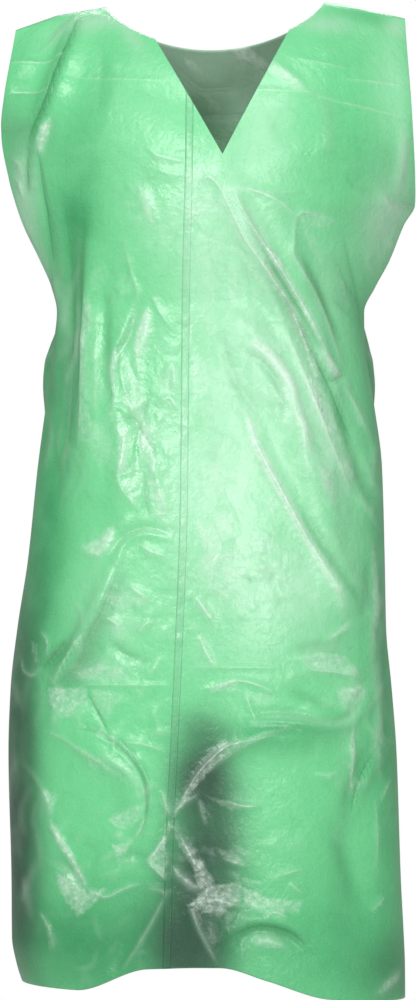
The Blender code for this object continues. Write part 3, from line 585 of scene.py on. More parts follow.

# Painted highlights on the front, on the faces between its creases.
FRONT_PAINTED_HIGHLIGHTS: tuple[PaintedHighlight, ...] = (
    PaintedHighlight("armhole flake", 1, ((-147, 102), (-150, 118), (-159, 137), (-161, 129), (-157, 111))),
    PaintedHighlight("wing flake", 0.6, ((-183, 140), (-176, 148), (-173, 168), (-177, 176), (-181, 159))),
    PaintedHighlight("chest flake", 0.55, ((-65, 170), (-58, 174), (-48, 207), (-56, 203))),
    PaintedHighlight("chest lit strip", 0.4, ((-52, 139), (-22, 147), (-20, 158), (-46, 152))),
    PaintedHighlight("chest near the lap", 0.4, ((-19, 154), (-2, 152), (-4, 176), (-17, 173))),
    PaintedHighlight("lap top sheen", 0.45, ((-17, 180), (-2, 184), (-6, 208), (-19, 204))),
    PaintedHighlight("column first", 0.6, ((-109, 265), (-105, 281), (-105, 303), (-106, 331), (-106, 369), (-116, 375),
        (-117, 335), (-115, 304), (-113, 282))),
    PaintedHighlight("column first low", 0.5, ((-120, 372), (-110, 370), (-103, 396), (-106, 415), (-116, 406))),
    PaintedHighlight("column second", 0.3, ((-101, 292), (-99, 312), (-98, 332), (-96, 363), (-100, 376), (-106, 375),
        (-104, 336), (-102, 320))),
    PaintedHighlight("column third", 0.8, ((-84, 319), (-82, 332), (-81, 367), (-88, 383), (-89, 383), (-85, 367),
        (-90, 338))),
    PaintedHighlight("column inner", 0.6, ((-81, 317), (-74, 332), (-65, 350), (-59, 362), (-56, 366), (-60, 387),
        (-72, 375), (-78, 374), (-79, 336))),
    PaintedHighlight("column sliver", 0.95, ((-55, 282), (-53, 301), (-56, 324), (-66, 331), (-68, 310), (-64, 300),
        (-60, 286))),
    PaintedHighlight("column under the sliver", 0.5, ((-66, 332), (-60, 336), (-61, 344), (-65, 344))),
    PaintedHighlight("column head sheen", 0.25, ((-109, 248), (-97, 239), (-90, 253), (-97, 265), (-107, 267))),
    PaintedHighlight("column head right", 0.25, ((-84, 247), (-71, 253), (-69, 268), (-80, 271))),
    PaintedHighlight("column slant", 0.5, ((-52, 273), (-46, 272), (-33, 293), (-41, 289))),
    PaintedHighlight("by the knot, left", 0.7, ((-82, 394), (-71, 392), (-70, 420), (-76, 441), (-82, 434))),
    PaintedHighlight("by the knot, right", 0.7, ((-61, 389), (-50, 394), (-51, 408), (-46, 436), (-58, 434), (-64, 408))),
    PaintedHighlight("under the knot, left", 0.6, ((-81, 443), (-68, 440), (-62, 472), (-71, 462))),
    PaintedHighlight("under the knot, right", 0.55, ((-57, 443), (-45, 445), (-34, 494), (-51, 472))),
    PaintedHighlight("column foot", 0.35, ((-114, 391), (-97, 387), (-86, 406), (-89, 426), (-101, 434), (-108, 413))),
    PaintedHighlight("beside the lap, left", 0.4, ((-45, 345), (-30, 339), (-28, 360), (-39, 367))),
    PaintedHighlight("beside the lap, right", 0.6, ((-15, 326), (-5, 329), (3, 358), (-7, 365), (-14, 371))),
    PaintedHighlight("lap light strip", 0.5, ((-17, 276), (-13, 276), (-13, 324), (-17, 328))),
    PaintedHighlight("middle flake", 0.55, ((-3, 424), (9, 427), (20, 448), (13, 459), (4, 443))),
    PaintedHighlight("middle flake low", 0.5, ((17, 434), (43, 443), (50, 456), (30, 454))),
    PaintedHighlight("pocket", 0.85, ((-116, 505), (-96, 491), (-87, 484), (-86, 499), (-100, 514), (-113, 511))),
    PaintedHighlight("pocket right", 0.5, ((-63, 503), (-39, 510), (-37, 519), (-54, 514))),
    PaintedHighlight("pull wedge", 0.9, ((47, 220), (65, 235), (73, 253), (59, 242))),
    PaintedHighlight("pull thread", 0.8, ((71, 250), (86, 281), (105, 321), (101, 322), (82, 281))),
    PaintedHighlight("pull flake", 1, ((97, 314), (107, 327), (125, 346), (115, 353), (109, 343))),
    PaintedHighlight("V ridge", 0.7, ((19, 175), (35, 206), (50, 230), (60, 255), (56, 255), (45, 230), (30, 204))),
    PaintedHighlight("second ridge", 0.5, ((22, 189), (43, 220), (62, 259), (89, 315), (86, 317), (58, 263))),
    PaintedHighlight("second ridge low", 0.6, ((89, 315), (103, 348), (121, 387), (137, 426), (132, 426), (114, 387),
        (97, 350))),
    PaintedHighlight("sheet by the ridge", 0.55, ((20, 221), (43, 241), (56, 263), (73, 296), (67, 298), (50, 266),
        (35, 245))),
    PaintedHighlight("middle ridge", 0.95, ((39, 315), (47, 306), (60, 325), (73, 342), (80, 358), (79, 370), (88, 391),
        (93, 413), (85, 408), (79, 387), (74, 360), (61, 342), (47, 324))),
    PaintedHighlight("right sheets", 0.75, ((87, 350), (103, 350), (121, 387), (131, 416), (138, 440), (129, 441),
        (122, 407), (104, 395))),
    PaintedHighlight("right sheets low", 0.65, ((103, 430), (113, 441), (123, 471), (114, 464), (101, 447))),
    PaintedHighlight("right sliver", 0.5, ((135, 368), (147, 396), (140, 390))),
    PaintedHighlight("long ridge", 0.95, ((32, 377), (39, 387), (52, 418), (69, 451), (85, 478), (104, 514), (119, 546),
        (113, 545), (95, 514), (76, 480), (58, 447), (42, 418), (35, 393))),
    PaintedHighlight("chest crumple", 0.5, ((82, 198), (101, 192), (123, 200), (110, 208), (89, 208))),
    PaintedHighlight("V side sheen", 0.75, ((50, 52), (60, 50), (86, 72), (97, 85), (76, 76), (60, 66))),
    PaintedHighlight("left patch", 0.8, ((-148, 637), (-113, 635), (-111, 654), (-128, 663), (-135, 666), (-147, 652))),
    PaintedHighlight("left patch right", 0.5, ((-110, 636), (-76, 641), (-94, 666), (-105, 654))),
    PaintedHighlight("left patch above", 0.5, ((-125, 622), (-102, 614), (-82, 617), (-70, 630), (-108, 631))),
    PaintedHighlight("left hook", 0.5, ((-167, 593), (-161, 597), (-157, 615), (-163, 614))),
    PaintedHighlight("left edge flake", 0.6, ((-154, 731), (-139, 738), (-147, 758))),
    PaintedHighlight("left blaze", 1, ((-147, 758), (-132, 778), (-122, 796), (-111, 822), (-118, 818), (-135, 790),
        (-146, 768))),
    PaintedHighlight("left blaze low", 0.85, ((-141, 809), (-127, 815), (-110, 827), (-96, 822), (-100, 832), (-120, 850),
        (-132, 836), (-140, 820))),
    PaintedHighlight("left hem flake", 0.5, ((-156, 847), (-145, 859), (-147, 882), (-151, 858))),
    PaintedHighlight("arc flake", 0.7, ((-93, 757), (-76, 748), (-57, 742), (-60, 755), (-76, 769), (-89, 763))),
    PaintedHighlight("arc low flake", 0.9, ((-89, 782), (-69, 777), (-75, 788), (-85, 796))),
    PaintedHighlight("slant sheen", 0.45, ((-132, 687), (-108, 696), (-82, 712), (-59, 732), (-78, 723), (-108, 703))),
    PaintedHighlight("lap star left", 0.9, ((-35, 766), (-39, 778), (-37, 796), (-39, 813), (-57, 795))),
    PaintedHighlight("lap star right", 0.85, ((-31, 769), (-22, 780), (-9, 786), (-19, 793), (-27, 781))),
    PaintedHighlight("lap star lower", 0.85, ((-18, 792), (-6, 794), (6, 814), (-8, 821), (-13, 806))),
    PaintedHighlight("lap star foot", 0.7, ((-33, 800), (-22, 810), (-8, 819), (-17, 818), (-28, 809))),
    PaintedHighlight("low blaze", 0.85, ((-18, 836), (0, 818), (30, 816), (33, 828), (16, 843), (-5, 843))),
    PaintedHighlight("low blaze right", 0.8, ((30, 819), (57, 830), (89, 833), (85, 844), (56, 845), (35, 837))),
    PaintedHighlight("low crumple right", 0.5, ((6, 783), (26, 787), (37, 800), (22, 798))),
    PaintedHighlight("low middle streak", 0.85, ((30, 682), (28, 689), (6, 708), (-9, 724), (-31, 754), (-33, 750),
        (-13, 721), (4, 702))),
    PaintedHighlight("low middle upper", 0.6, ((-2, 693), (15, 685), (22, 687), (7, 695))),
    PaintedHighlight("low middle right", 0.4, ((-2, 735), (15, 739), (39, 745), (22, 750))),
    PaintedHighlight("mid slant", 0.8, ((-11, 552), (-4, 560), (7, 576), (1, 575))),
    PaintedHighlight("mid slant low", 0.6, ((-7, 587), (6, 613), (0, 612))),
    PaintedHighlight("mid wedge", 0.8, ((-2, 639), (8, 634), (26, 626), (30, 639))),
    PaintedHighlight("mid box", 0.4, ((35, 641), (63, 640), (57, 651), (41, 652))),
    PaintedHighlight("middle crumples", 0.4, ((-2, 517), (26, 506), (35, 532), (19, 552), (2, 547))),
    PaintedHighlight("middle crumples right", 0.4, ((39, 523), (67, 517), (76, 540), (50, 551))),
    PaintedHighlight("right patch", 0.8, ((110, 592), (133, 572), (131, 583), (120, 589))),
    PaintedHighlight("right lens", 0.85, ((85, 606), (108, 603), (129, 607), (144, 627), (119, 622), (97, 618))),
    PaintedHighlight("sweep crumple", 0.6, ((119, 639), (146, 634), (148, 643), (131, 659), (121, 655))),
    PaintedHighlight("right streak", 0.6, ((134, 669), (138, 689), (140, 712), (137, 738), (132, 713), (132, 689))),
    PaintedHighlight("right waist sheen", 0.4, ((120, 239), (130, 261), (136, 283), (128, 277))),
    PaintedHighlight("right strip flake", 0.4, ((154, 499), (159, 518), (160, 575), (154, 593), (152, 556))),
    PaintedHighlight("right wing flake", 0.6, ((162, 174), (180, 186), (194, 184), (186, 198), (172, 197))),
    PaintedHighlight("hem crumple", 0.4, ((41, 872), (56, 867), (74, 875), (57, 878))),
    PaintedHighlight("right hem flake", 0.5, ((157, 925), (165, 913), (183, 903), (177, 917))),
    PaintedHighlight("low arc sheen", 0.35, ((-80, 691), (-67, 706), (-59, 728), (-61, 745), (-67, 726), (-76, 706))),
    PaintedHighlight("left low crinkle", 0.4, ((-108, 696), (-96, 701), (-102, 716), (-111, 709))),
    PaintedHighlight("right low crinkle", 0.4, ((100, 714), (119, 715), (113, 722))),
    PaintedHighlight("right mid crinkle", 0.35, ((85, 517), (102, 514), (106, 529), (91, 534))),
    PaintedHighlight("middle bright flake", 0.6, ((-11, 480), (7, 488), (13, 510), (-4, 506))),
    PaintedHighlight("middle bright flake two", 0.5, ((4, 532), (26, 539), (20, 554), (6, 551))),
    PaintedHighlight("left mid crinkle", 0.45, ((-93, 551), (-63, 543), (-52, 556), (-82, 566))),
    PaintedHighlight("left mid crinkle two", 0.4, ((-89, 579), (-74, 584), (-82, 597))),
    PaintedHighlight("middle flake a", 0.5, ((-2, 434), (13, 426), (20, 441), (7, 452))),
    PaintedHighlight("middle flake b", 0.45, ((26, 417), (39, 412), (50, 434), (41, 443))),
    PaintedHighlight("middle flake c", 0.4, ((6, 480), (22, 473), (28, 488), (13, 497))),
    PaintedHighlight("middle flake d", 0.45, ((37, 499), (54, 490), (63, 504), (46, 514))),
    PaintedHighlight("middle flake e", 0.4, ((-7, 517), (6, 510), (15, 526), (0, 534))),
    PaintedHighlight("middle flake f", 0.35, ((50, 462), (63, 456), (71, 477), (59, 480))),
    PaintedHighlight("middle flake g", 0.4, ((22, 554), (35, 547), (44, 560), (30, 569))),
    PaintedHighlight("right of the V sheen", 0.35, ((86, 196), (97, 212), (110, 239), (103, 239), (89, 218))),
)

BACK_CREASES = (
    sharp("left shoulder pinch", 3, 1.8, 0.3, (-124, 6), (-116, 40), (-98, 86)),
    sharp("left yoke pull", 3.4, 2.0, 0.2, (-118, 10), (-84, 80), (-40, 160)),
    sharp("right shoulder pinch", 3, 1.8, 0.3, (128, 2), (118, 46), (112, 96)),
    sharp("right yoke pull", 3.4, 1.9, 0.2, (122, 6), (92, 70), (44, 150)),
    tuck("left armhole pull", 4.5, 2.6, 0.5, (-176, 120), (-140, 176), (-116, 262)),
    sharp("left armhole second", 3.2, 2.0, 0.2, (-168, 150), (-134, 210), (-118, 290)),
    tuck("right armhole pull", 4.5, -2.6, 0.5, (184, 186), (150, 222), (122, 276)),
    sharp("right armhole second", 3.2, 1.8, 0.2, (170, 160), (138, 204), (112, 262)),
    sharp("left waist line", 3.2, 2.2, 0.3, (-86, 214), (-76, 290), (-92, 452)),
    soft("left waist groove", 4.5, -2.6, 0.5, (-100, 236), (-90, 300), (-104, 400)),
    tuck("left inner line", 4, 2.2, 0.4, (-58, 200), (-44, 292), (-62, 430)),
    sharp("middle line", 3, 2.0, 0.2, (-18, 180), (-10, 286), (-26, 500)),
    soft("middle groove", 4.5, -2.4, 0.5, (2, 240), (6, 300), (-4, 420)),
    sharp("right inner line", 3.2, 2.2, 0.2, (34, 190), (30, 288), (40, 470)),
    tuck("right inner groove", 4, -2.2, 0.4, (62, 220), (56, 294), (72, 440)),
    sharp("right waist line", 3.2, 2.0, 0.2, (92, 210), (86, 288), (104, 460)),
    sharp("left puff line", 3, 1.8, 0.3, (-134, 296), (-142, 346), (-140, 420)),
    sharp("right puff line", 3, 1.8, 0.3, (134, 290), (146, 338), (146, 412)),
    sharp("left side slant", 3.2, 1.8, 0.2, (-120, 430), (-84, 520), (-66, 610)),
    sharp("right side slant", 3.4, 2.0, 0.2, (132, 424), (104, 520), (96, 640)),
    tuck("low slant", 4.5, 2.6, 0.4, (-104, 498), (-52, 540), (-8, 604), (12, 676)),
    sharp("low slant beside", 3.0, 2.0, 0.1, (-70, 500), (-30, 540), (10, 606)),
    sharp("left skirt line", 3.4, 2.0, 0.2, (-120, 600), (-132, 720), (-136, 880)),
    tuck("left skirt groove", 5, 2.6, 0.5, (-84, 640), (-92, 760), (-96, 900)),
    sharp("skirt blaze", 3, 1.8, 0.1, (-40, 640), (-14, 712), (-30, 800)),
    sharp("right skirt line", 3.4, 2.0, 0.2, (92, 640), (110, 760), (120, 900)),
    tuck("right skirt groove", 5, -2.6, 0.5, (60, 620), (70, 760), (66, 900)),
    tuck("low right slant", 4.5, 2.4, 0.4, (120, 648), (72, 690), (40, 752), (28, 820)),
    sharp("low right beside", 3.0, 1.8, 0.1, (132, 690), (96, 716), (64, 770)),
    tuck("left gather line", 4, -2.4, 0.5, (-30, 236), (-26, 300), (-38, 404)),
    sharp("left gather second", 3.0, 2.0, 0.1, (-72, 240), (-62, 330), (-78, 470)),
    tuck("right gather line", 4, 2.4, 0.4, (48, 250), (44, 320), (58, 420)),
    sharp("right gather second", 3.0, 2.0, 0.1, (78, 250), (84, 330), (92, 420)),
    sharp("left side pull", 3.2, 2.0, 0.2, (-150, 300), (-128, 380), (-120, 470)),
    sharp("right side pull", 3.2, 2.0, 0.2, (152, 300), (130, 390), (126, 480)),
    tuck("left side run", 4.5, 2.4, 0.4, (-160, 470), (-150, 620), (-160, 800)),
    tuck("right side run", 4.5, -2.4, 0.4, (160, 460), (152, 600), (164, 790)),
    sharp("hem slant left", 3, 1.8, 0.2, (-60, 820), (-92, 906)),
    sharp("hem slant right", 3, 1.8, 0.2, (36, 812), (70, 900)),
    sharp("centre crease", 2.6, -0.8, 0.0, (-4, 44), (-4, 80), (-3, 130)),
    sharp("slant behind the neck", 2.6, 1.4, 0.0, (-33, 46), (-17, 59), (-3, 66), (31, 64)),
    sharp("line behind the neck", 2.6, 1.2, 0.0, (27, 33), (42, 42), (58, 57)),
    sharp("packing line behind the V", 1.6, 0.9, 0.0, (-60, 92), (40, 90)),
)

BACK_CRUMPLES = (
    Crumple("yoke", 0, 110, 120, 60, 20, 60, 60, 22, 3.2, 0.6),
    Crumple("left waist", -80, 310, 60, 120, 2, 12, 130, 36, 3.2, 1.3),
    Crumple("right waist", 74, 310, 60, 120, -2, 12, 130, 36, 3.2, 1.3),
    Crumple("middle waist", 0, 320, 40, 120, 0, 14, 60, 30, 3.0, 1.0),
    Crumple("left low", -70, 520, 70, 100, -24, 34, 110, 22, 3.0, 1.1),
    Crumple("right low", 80, 520, 70, 100, 24, 34, 110, 22, 3.0, 1.1),
    Crumple("skirt left", -90, 720, 70, 120, -40, 44, 120, 22, 3.0, 1.0),
    Crumple("skirt right", 80, 740, 80, 120, 44, 44, 120, 22, 3.0, 1.0),
    Crumple("skirt middle", 0, 660, 60, 110, 0, 50, 80, 18, 2.8, 0.9),
    Crumple("hem", 0, 860, 150, 40, 10, 50, 60, 24, 3.4, 0.8),
    Crumple("left wing", -164, 190, 24, 50, -20, 40, 30, 18, 3.0, 0.7),
    Crumple("right wing", 168, 210, 24, 50, 20, 40, 30, 18, 3.0, 0.7),
    Crumple("left side", -150, 560, 24, 220, 0, 10, 60, 60, 3.6, 1.0),
    Crumple("right side", 154, 560, 24, 220, 0, 10, 60, 60, 3.6, 1.0),
)

BACK_PATCHES = {
    # Painted light on the back and on its inside behind the V.
    Tone.BRIGHT: (
        Patch("behind the V", 14, 125, 40, 46, 0, 0.75),
        Patch("middle of the back", 0, 200, 90, 120, 0, 0.5),
        Patch("low bright", 10, 520, 100, 120, 0, 0.45),
    ),
    # Painted shade at the sides, the puffs and the hem.
    Tone.DEEP: (
        Patch("left side", -150, 430, 24, 170, 0, 0.8),
        Patch("right side", 154, 430, 24, 170, 0, 0.8),
        Patch("left side low", -160, 740, 32, 190, 0, 0.8),
        Patch("right side low", 164, 740, 32, 190, 0, 0.8),
        Patch("low middle", 0, 820, 60, 90, 0, 0.4),
        Patch("low hem", 0, 900, 200, 50, 0, 0.5),
        Patch("left puff", -140, 350, 14, 70, 0, 0.6),
        Patch("right puff", 146, 344, 14, 70, 0, 0.6),
    ),
    Tone.PALE: (
        Patch("left wing", -168, 190, 20, 60, 0, 0.8),
        Patch("right wing", 176, 210, 20, 50, 0, 0.8),
    ),
    # Painted sheen over crumpled patches, in part their whitening.
    Tone.HAZE: (
        Patch("left waist haze", -76, 340, 30, 80, 0, 0.5),
        Patch("right waist haze", 60, 300, 26, 80, 0, 0.5),
        Patch("low sheen", -20, 590, 60, 24, 0, 0.5),
        Patch("skirt haze", 60, 720, 50, 30, 20, 0.5),
        Patch("skirt left haze", -80, 800, 40, 30, -20, 0.5),
        Patch("sheen behind the neck", 34, 42, 8, 24, -62, 0.7),
    ),
}

# Painted highlights on the back and on its inside behind the neck.
BACK_PAINTED_HIGHLIGHTS = (
    PaintedHighlight("behind the neck", 1, ((20, 27), (36, 25), (54, 37), (68, 52), (48, 44), (30, 37))),
    PaintedHighlight("behind the V", 0.6, ((-27, 35), (-12, 40), (-2, 53), (-15, 49))),
    PaintedHighlight("behind the V low", 0.5, ((-2, 71), (14, 79), (12, 97), (2, 90))),
    PaintedHighlight("left shoulder pull", 0.6, ((-112, 66), (-96, 84), (-78, 130), (-84, 132), (-104, 98))),
    PaintedHighlight("right shoulder pull", 0.7, ((118, 58), (100, 90), (74, 138), (80, 142), (108, 104))),
    PaintedHighlight("left waist streak", 0.7, ((-86, 262), (-80, 300), (-84, 372), (-92, 370), (-94, 300))),
    PaintedHighlight("left waist second", 0.5, ((-66, 280), (-60, 330), (-62, 384), (-70, 380), (-72, 320))),
    PaintedHighlight("waist sliver", 0.6, ((-18, 270), (-12, 300), (-16, 352), (-26, 360), (-28, 310))),
    PaintedHighlight("right waist streak", 0.7, ((72, 268), (80, 300), (78, 366), (68, 360), (66, 300))),
    PaintedHighlight("right waist second", 0.5, ((96, 290), (104, 330), (98, 392), (90, 386), (90, 330))),
    PaintedHighlight("slanting ridge", 0.6, ((-60, 486), (-44, 496), (4, 560), (18, 612), (8, 606), (-14, 566))),
    PaintedHighlight("right low streak", 0.5, ((126, 664), (96, 690), (64, 744), (60, 740), (86, 692))),
    PaintedHighlight("left low streak", 0.5, ((-112, 600), (-94, 640), (-84, 700), (-92, 704), (-104, 650))),
    PaintedHighlight("skirt blaze", 0.5, ((-96, 716), (-76, 744), (-52, 800), (-60, 802), (-88, 756))),
    PaintedHighlight("hem streak", 0.45, ((40, 770), (52, 800), (60, 856), (50, 852), (40, 812))),
)


def read_column(rows: Iterable, name: str) -> Array:
    """The values of one named column of a table."""
    return np.array([getattr(row, name) for row in rows], float)


def smooth(rows: tuple, name: str, at: Array, key: str = "drop") -> Array:
    """Reads a table's column at any place, on a curve that never overshoots its rows.

    Args:
        rows: the table.
        name: the column to read.
        at: the places, as values of the key column.
        key: the column that the places belong to.

    Returns:
        The column's values there.
    """
    xs = read_column(rows, key)
    ys = read_column(rows, name)
    step = np.diff(xs)
    slope = np.diff(ys) / step
    tangent = np.concatenate(([slope[0]], np.zeros(len(xs) - 2), [slope[-1]]))
    same_way = slope[:-1] * slope[1:] > 0
    mean = 2 * slope[:-1] * slope[1:] / np.where(same_way, slope[:-1] + slope[1:], 1)
    tangent[1:-1] = np.where(same_way, mean, 0)
    at = np.clip(at, xs[0], xs[-1])
    i = np.clip(np.searchsorted(xs, at) - 1, 0, len(step) - 1)
    t = (at - xs[i]) / step[i]
    rising = t * t * (3 - 2 * t)
    return (
        ys[i] * (1 - rising)
        + ys[i + 1] * rising
        + step[i] * t * (1 - t) * ((1 - t) * tangent[i] - t * tangent[i + 1])
    )


def eased(t: Array) -> Array:
    """0 to 1 with soft ends."""
    t = np.clip(t, 0, 1)
    return t * t * (3 - 2 * t)


@dataclass(frozen=True)
class Form:
    """The worn shape of the frame's solids. A share is a part of the half width, from -1 to 1."""

    levels: tuple[Level, ...] = LEVELS
    shoulder_line: tuple[Point, ...] = SHOULDER_LINE
    v_left: float = -49.9
    v_right: float = 76.5
    v_tip: Point = (13.4, -141.0)
    left_corner_drop: float = 113.0
    right_corner_drop: float = 181.0
    scoop_front: float = 47.0
    scoop_back: float = 39.0
    scoop_power: float = 0.75
    shoulder_round: float = 150.0
    shoulder_power: float = 0.75
    armhole_open: float = 56.0
    armhole_power: float = 0.75
    armhole_soften: float = 34.0
    soft_share: float = 0.86
    middle_straight_drop: float = 283.0
    seam_gap: float = 0.3
    lap_width: float = 7.5

    @property
    def left_neck(self) -> float:
        """Where the neck scoop starts on the left."""
        return self.shoulder_line[2][0]

    @property
    def right_neck(self) -> float:
        """Where the neck scoop ends on the right."""
        return self.shoulder_line[3][0]

    def ridge(self, x: Array) -> Array:
        """Height of the shoulder seams, level across the neck."""
        return np.interp(x, *zip(*self.shoulder_line))

    def scoop(self, x: Array, depth: float) -> Array:
        """Top edge of a panel with the plain neck scoop of that depth.

        Args:
            x: the places across the front view.
            depth: how low the scoop's middle hangs.

        Returns:
            The edge's height at each place.
        """
        middle = (self.left_neck + self.right_neck) / 2
        half = (self.right_neck - self.left_neck) / 2
        across = np.clip(np.abs((x - middle) / half), 0, 1)
        return self.ridge(x) - depth * (1 - across**2) ** self.scoop_power

    def top(self, x: Array, side: Side) -> Array:
        """Top edge of a panel. The front's scoop has the V cut into it.

        Args:
            x: the places across the front view.
            side: the panel.

        Returns:
            The edge's height at each place.
        """
        if side is Side.BACK:
            return self.scoop(x, self.scoop_back)
        corners = np.array([self.v_left, self.v_right])
        ends = self.scoop(corners, self.scoop_front)
        notch = np.interp(x, (self.v_left, self.v_tip[0], self.v_right), (ends[0], self.v_tip[1], ends[1]))
        in_notch = (x > self.v_left) & (x < self.v_right)
        return np.where(in_notch, notch, self.scoop(x, self.scoop_front))

    def middle_x(self, z: Array) -> Array:
        """The line that the form's fullest depth follows."""
        below = (self.v_tip[1] - z) / (self.middle_straight_drop + self.v_tip[1])
        return self.v_tip[0] * (1 - eased(below))

    def edge_x(self, z: Array, right: Array) -> Array:
        """The side edge at a height, on the right or the left."""
        return np.where(right, smooth(self.levels, "right", -z), -smooth(self.levels, "left", -z))

    def x_of(self, share: Array, z: Array) -> Array:
        """Where a share of the half width lies at a height."""
        return self.middle_x(z) + np.abs(share) * (self.edge_x(z, share > 0) - self.middle_x(z))

    def share_of(self, x: Array, z: Array) -> Array:
        """The share of the half width that a place has."""
        offset = x - self.middle_x(z)
        return offset / np.abs(self.edge_x(z, offset > 0) - self.middle_x(z))

    def corner_share(self, x: float, side: Side) -> float:
        """The share of a corner on a panel's top edge."""
        place = np.array(x)
        return float(self.share_of(place, self.top(place, side)))

    def lap_x(self, z: Array, across: float) -> Array:
        """A line of the lap, across from -1 at its left edge to 1 at its right one."""
        return smooth(LAP, "x", -z) + across * self.lap_width / 2

    def armhole_stand(self, z: Array, right: Array, soft: bool) -> Array:
        """How far an armhole stands out from the side's plane.

        Args:
            z: the heights.
            right: whether each place is on the right.
            soft: whether the ends are rounded off, as on the film inward of the edge.

        Returns:
            The distance, in millimetres.
        """
        top = np.where(right, self.shoulder_line[-1][1], self.shoulder_line[0][1])
        corner = np.where(right, -self.right_corner_drop, -self.left_corner_drop)
        stands = []
        for shift in np.linspace(-self.armhole_soften, self.armhole_soften, 9) if soft else (0.0,):
            way = np.clip((top - z - shift) / (top - corner), 0, 1)
            stands.append(np.sin(pi * way) ** self.armhole_power)
        return self.armhole_open * np.mean(stands, axis=0)

    def depth(self, x: Array, z: Array, side: Side) -> Array:
        """Distance of the film from the plane of the seams.

        Args:
            x: the places across the front view.
            z: their heights.
            side: the panel.

        Returns:
            The distance, in millimetres.
        """
        share = np.clip(self.share_of(x, z), -1, 1)
        full = smooth(self.levels, side.value, -z)
        oval = (1 - share**2) ** (smooth(self.levels, "flare", -z) / 2)
        over = np.clip((self.ridge(x) - z) / self.shoulder_round, 0, 1)
        rounded = (1 - (1 - over) ** 2) ** self.shoulder_power
        by_edge = eased((np.abs(share) - self.soft_share) / (1 - self.soft_share))
        stand = self.armhole_stand(z, share > 0, True) * (1 - by_edge)
        stand += self.armhole_stand(z, share > 0, False) * by_edge
        return self.seam_gap / 2 + rounded * (stand + (full - stand) * oval)


FORM = Form()
LINE_LAYERS = 4


@dataclass(frozen=True)
class Landmark:
    """A line down a panel that a column of its grid follows: a fixed share, or a line of the lap."""

    share: float = 0.0
    on_lap: float | None = None

    def turn(self, z: Array) -> Array:
        """How far round the form the line lies at each height, as an angle.

        Args:
            z: the heights.

        Returns:
            The angle, from the middle of the panel.
        """
        if self.on_lap is None:
            return np.full(z.shape, np.arcsin(self.share))
        return np.arcsin(FORM.share_of(FORM.lap_x(z, self.on_lap), z))


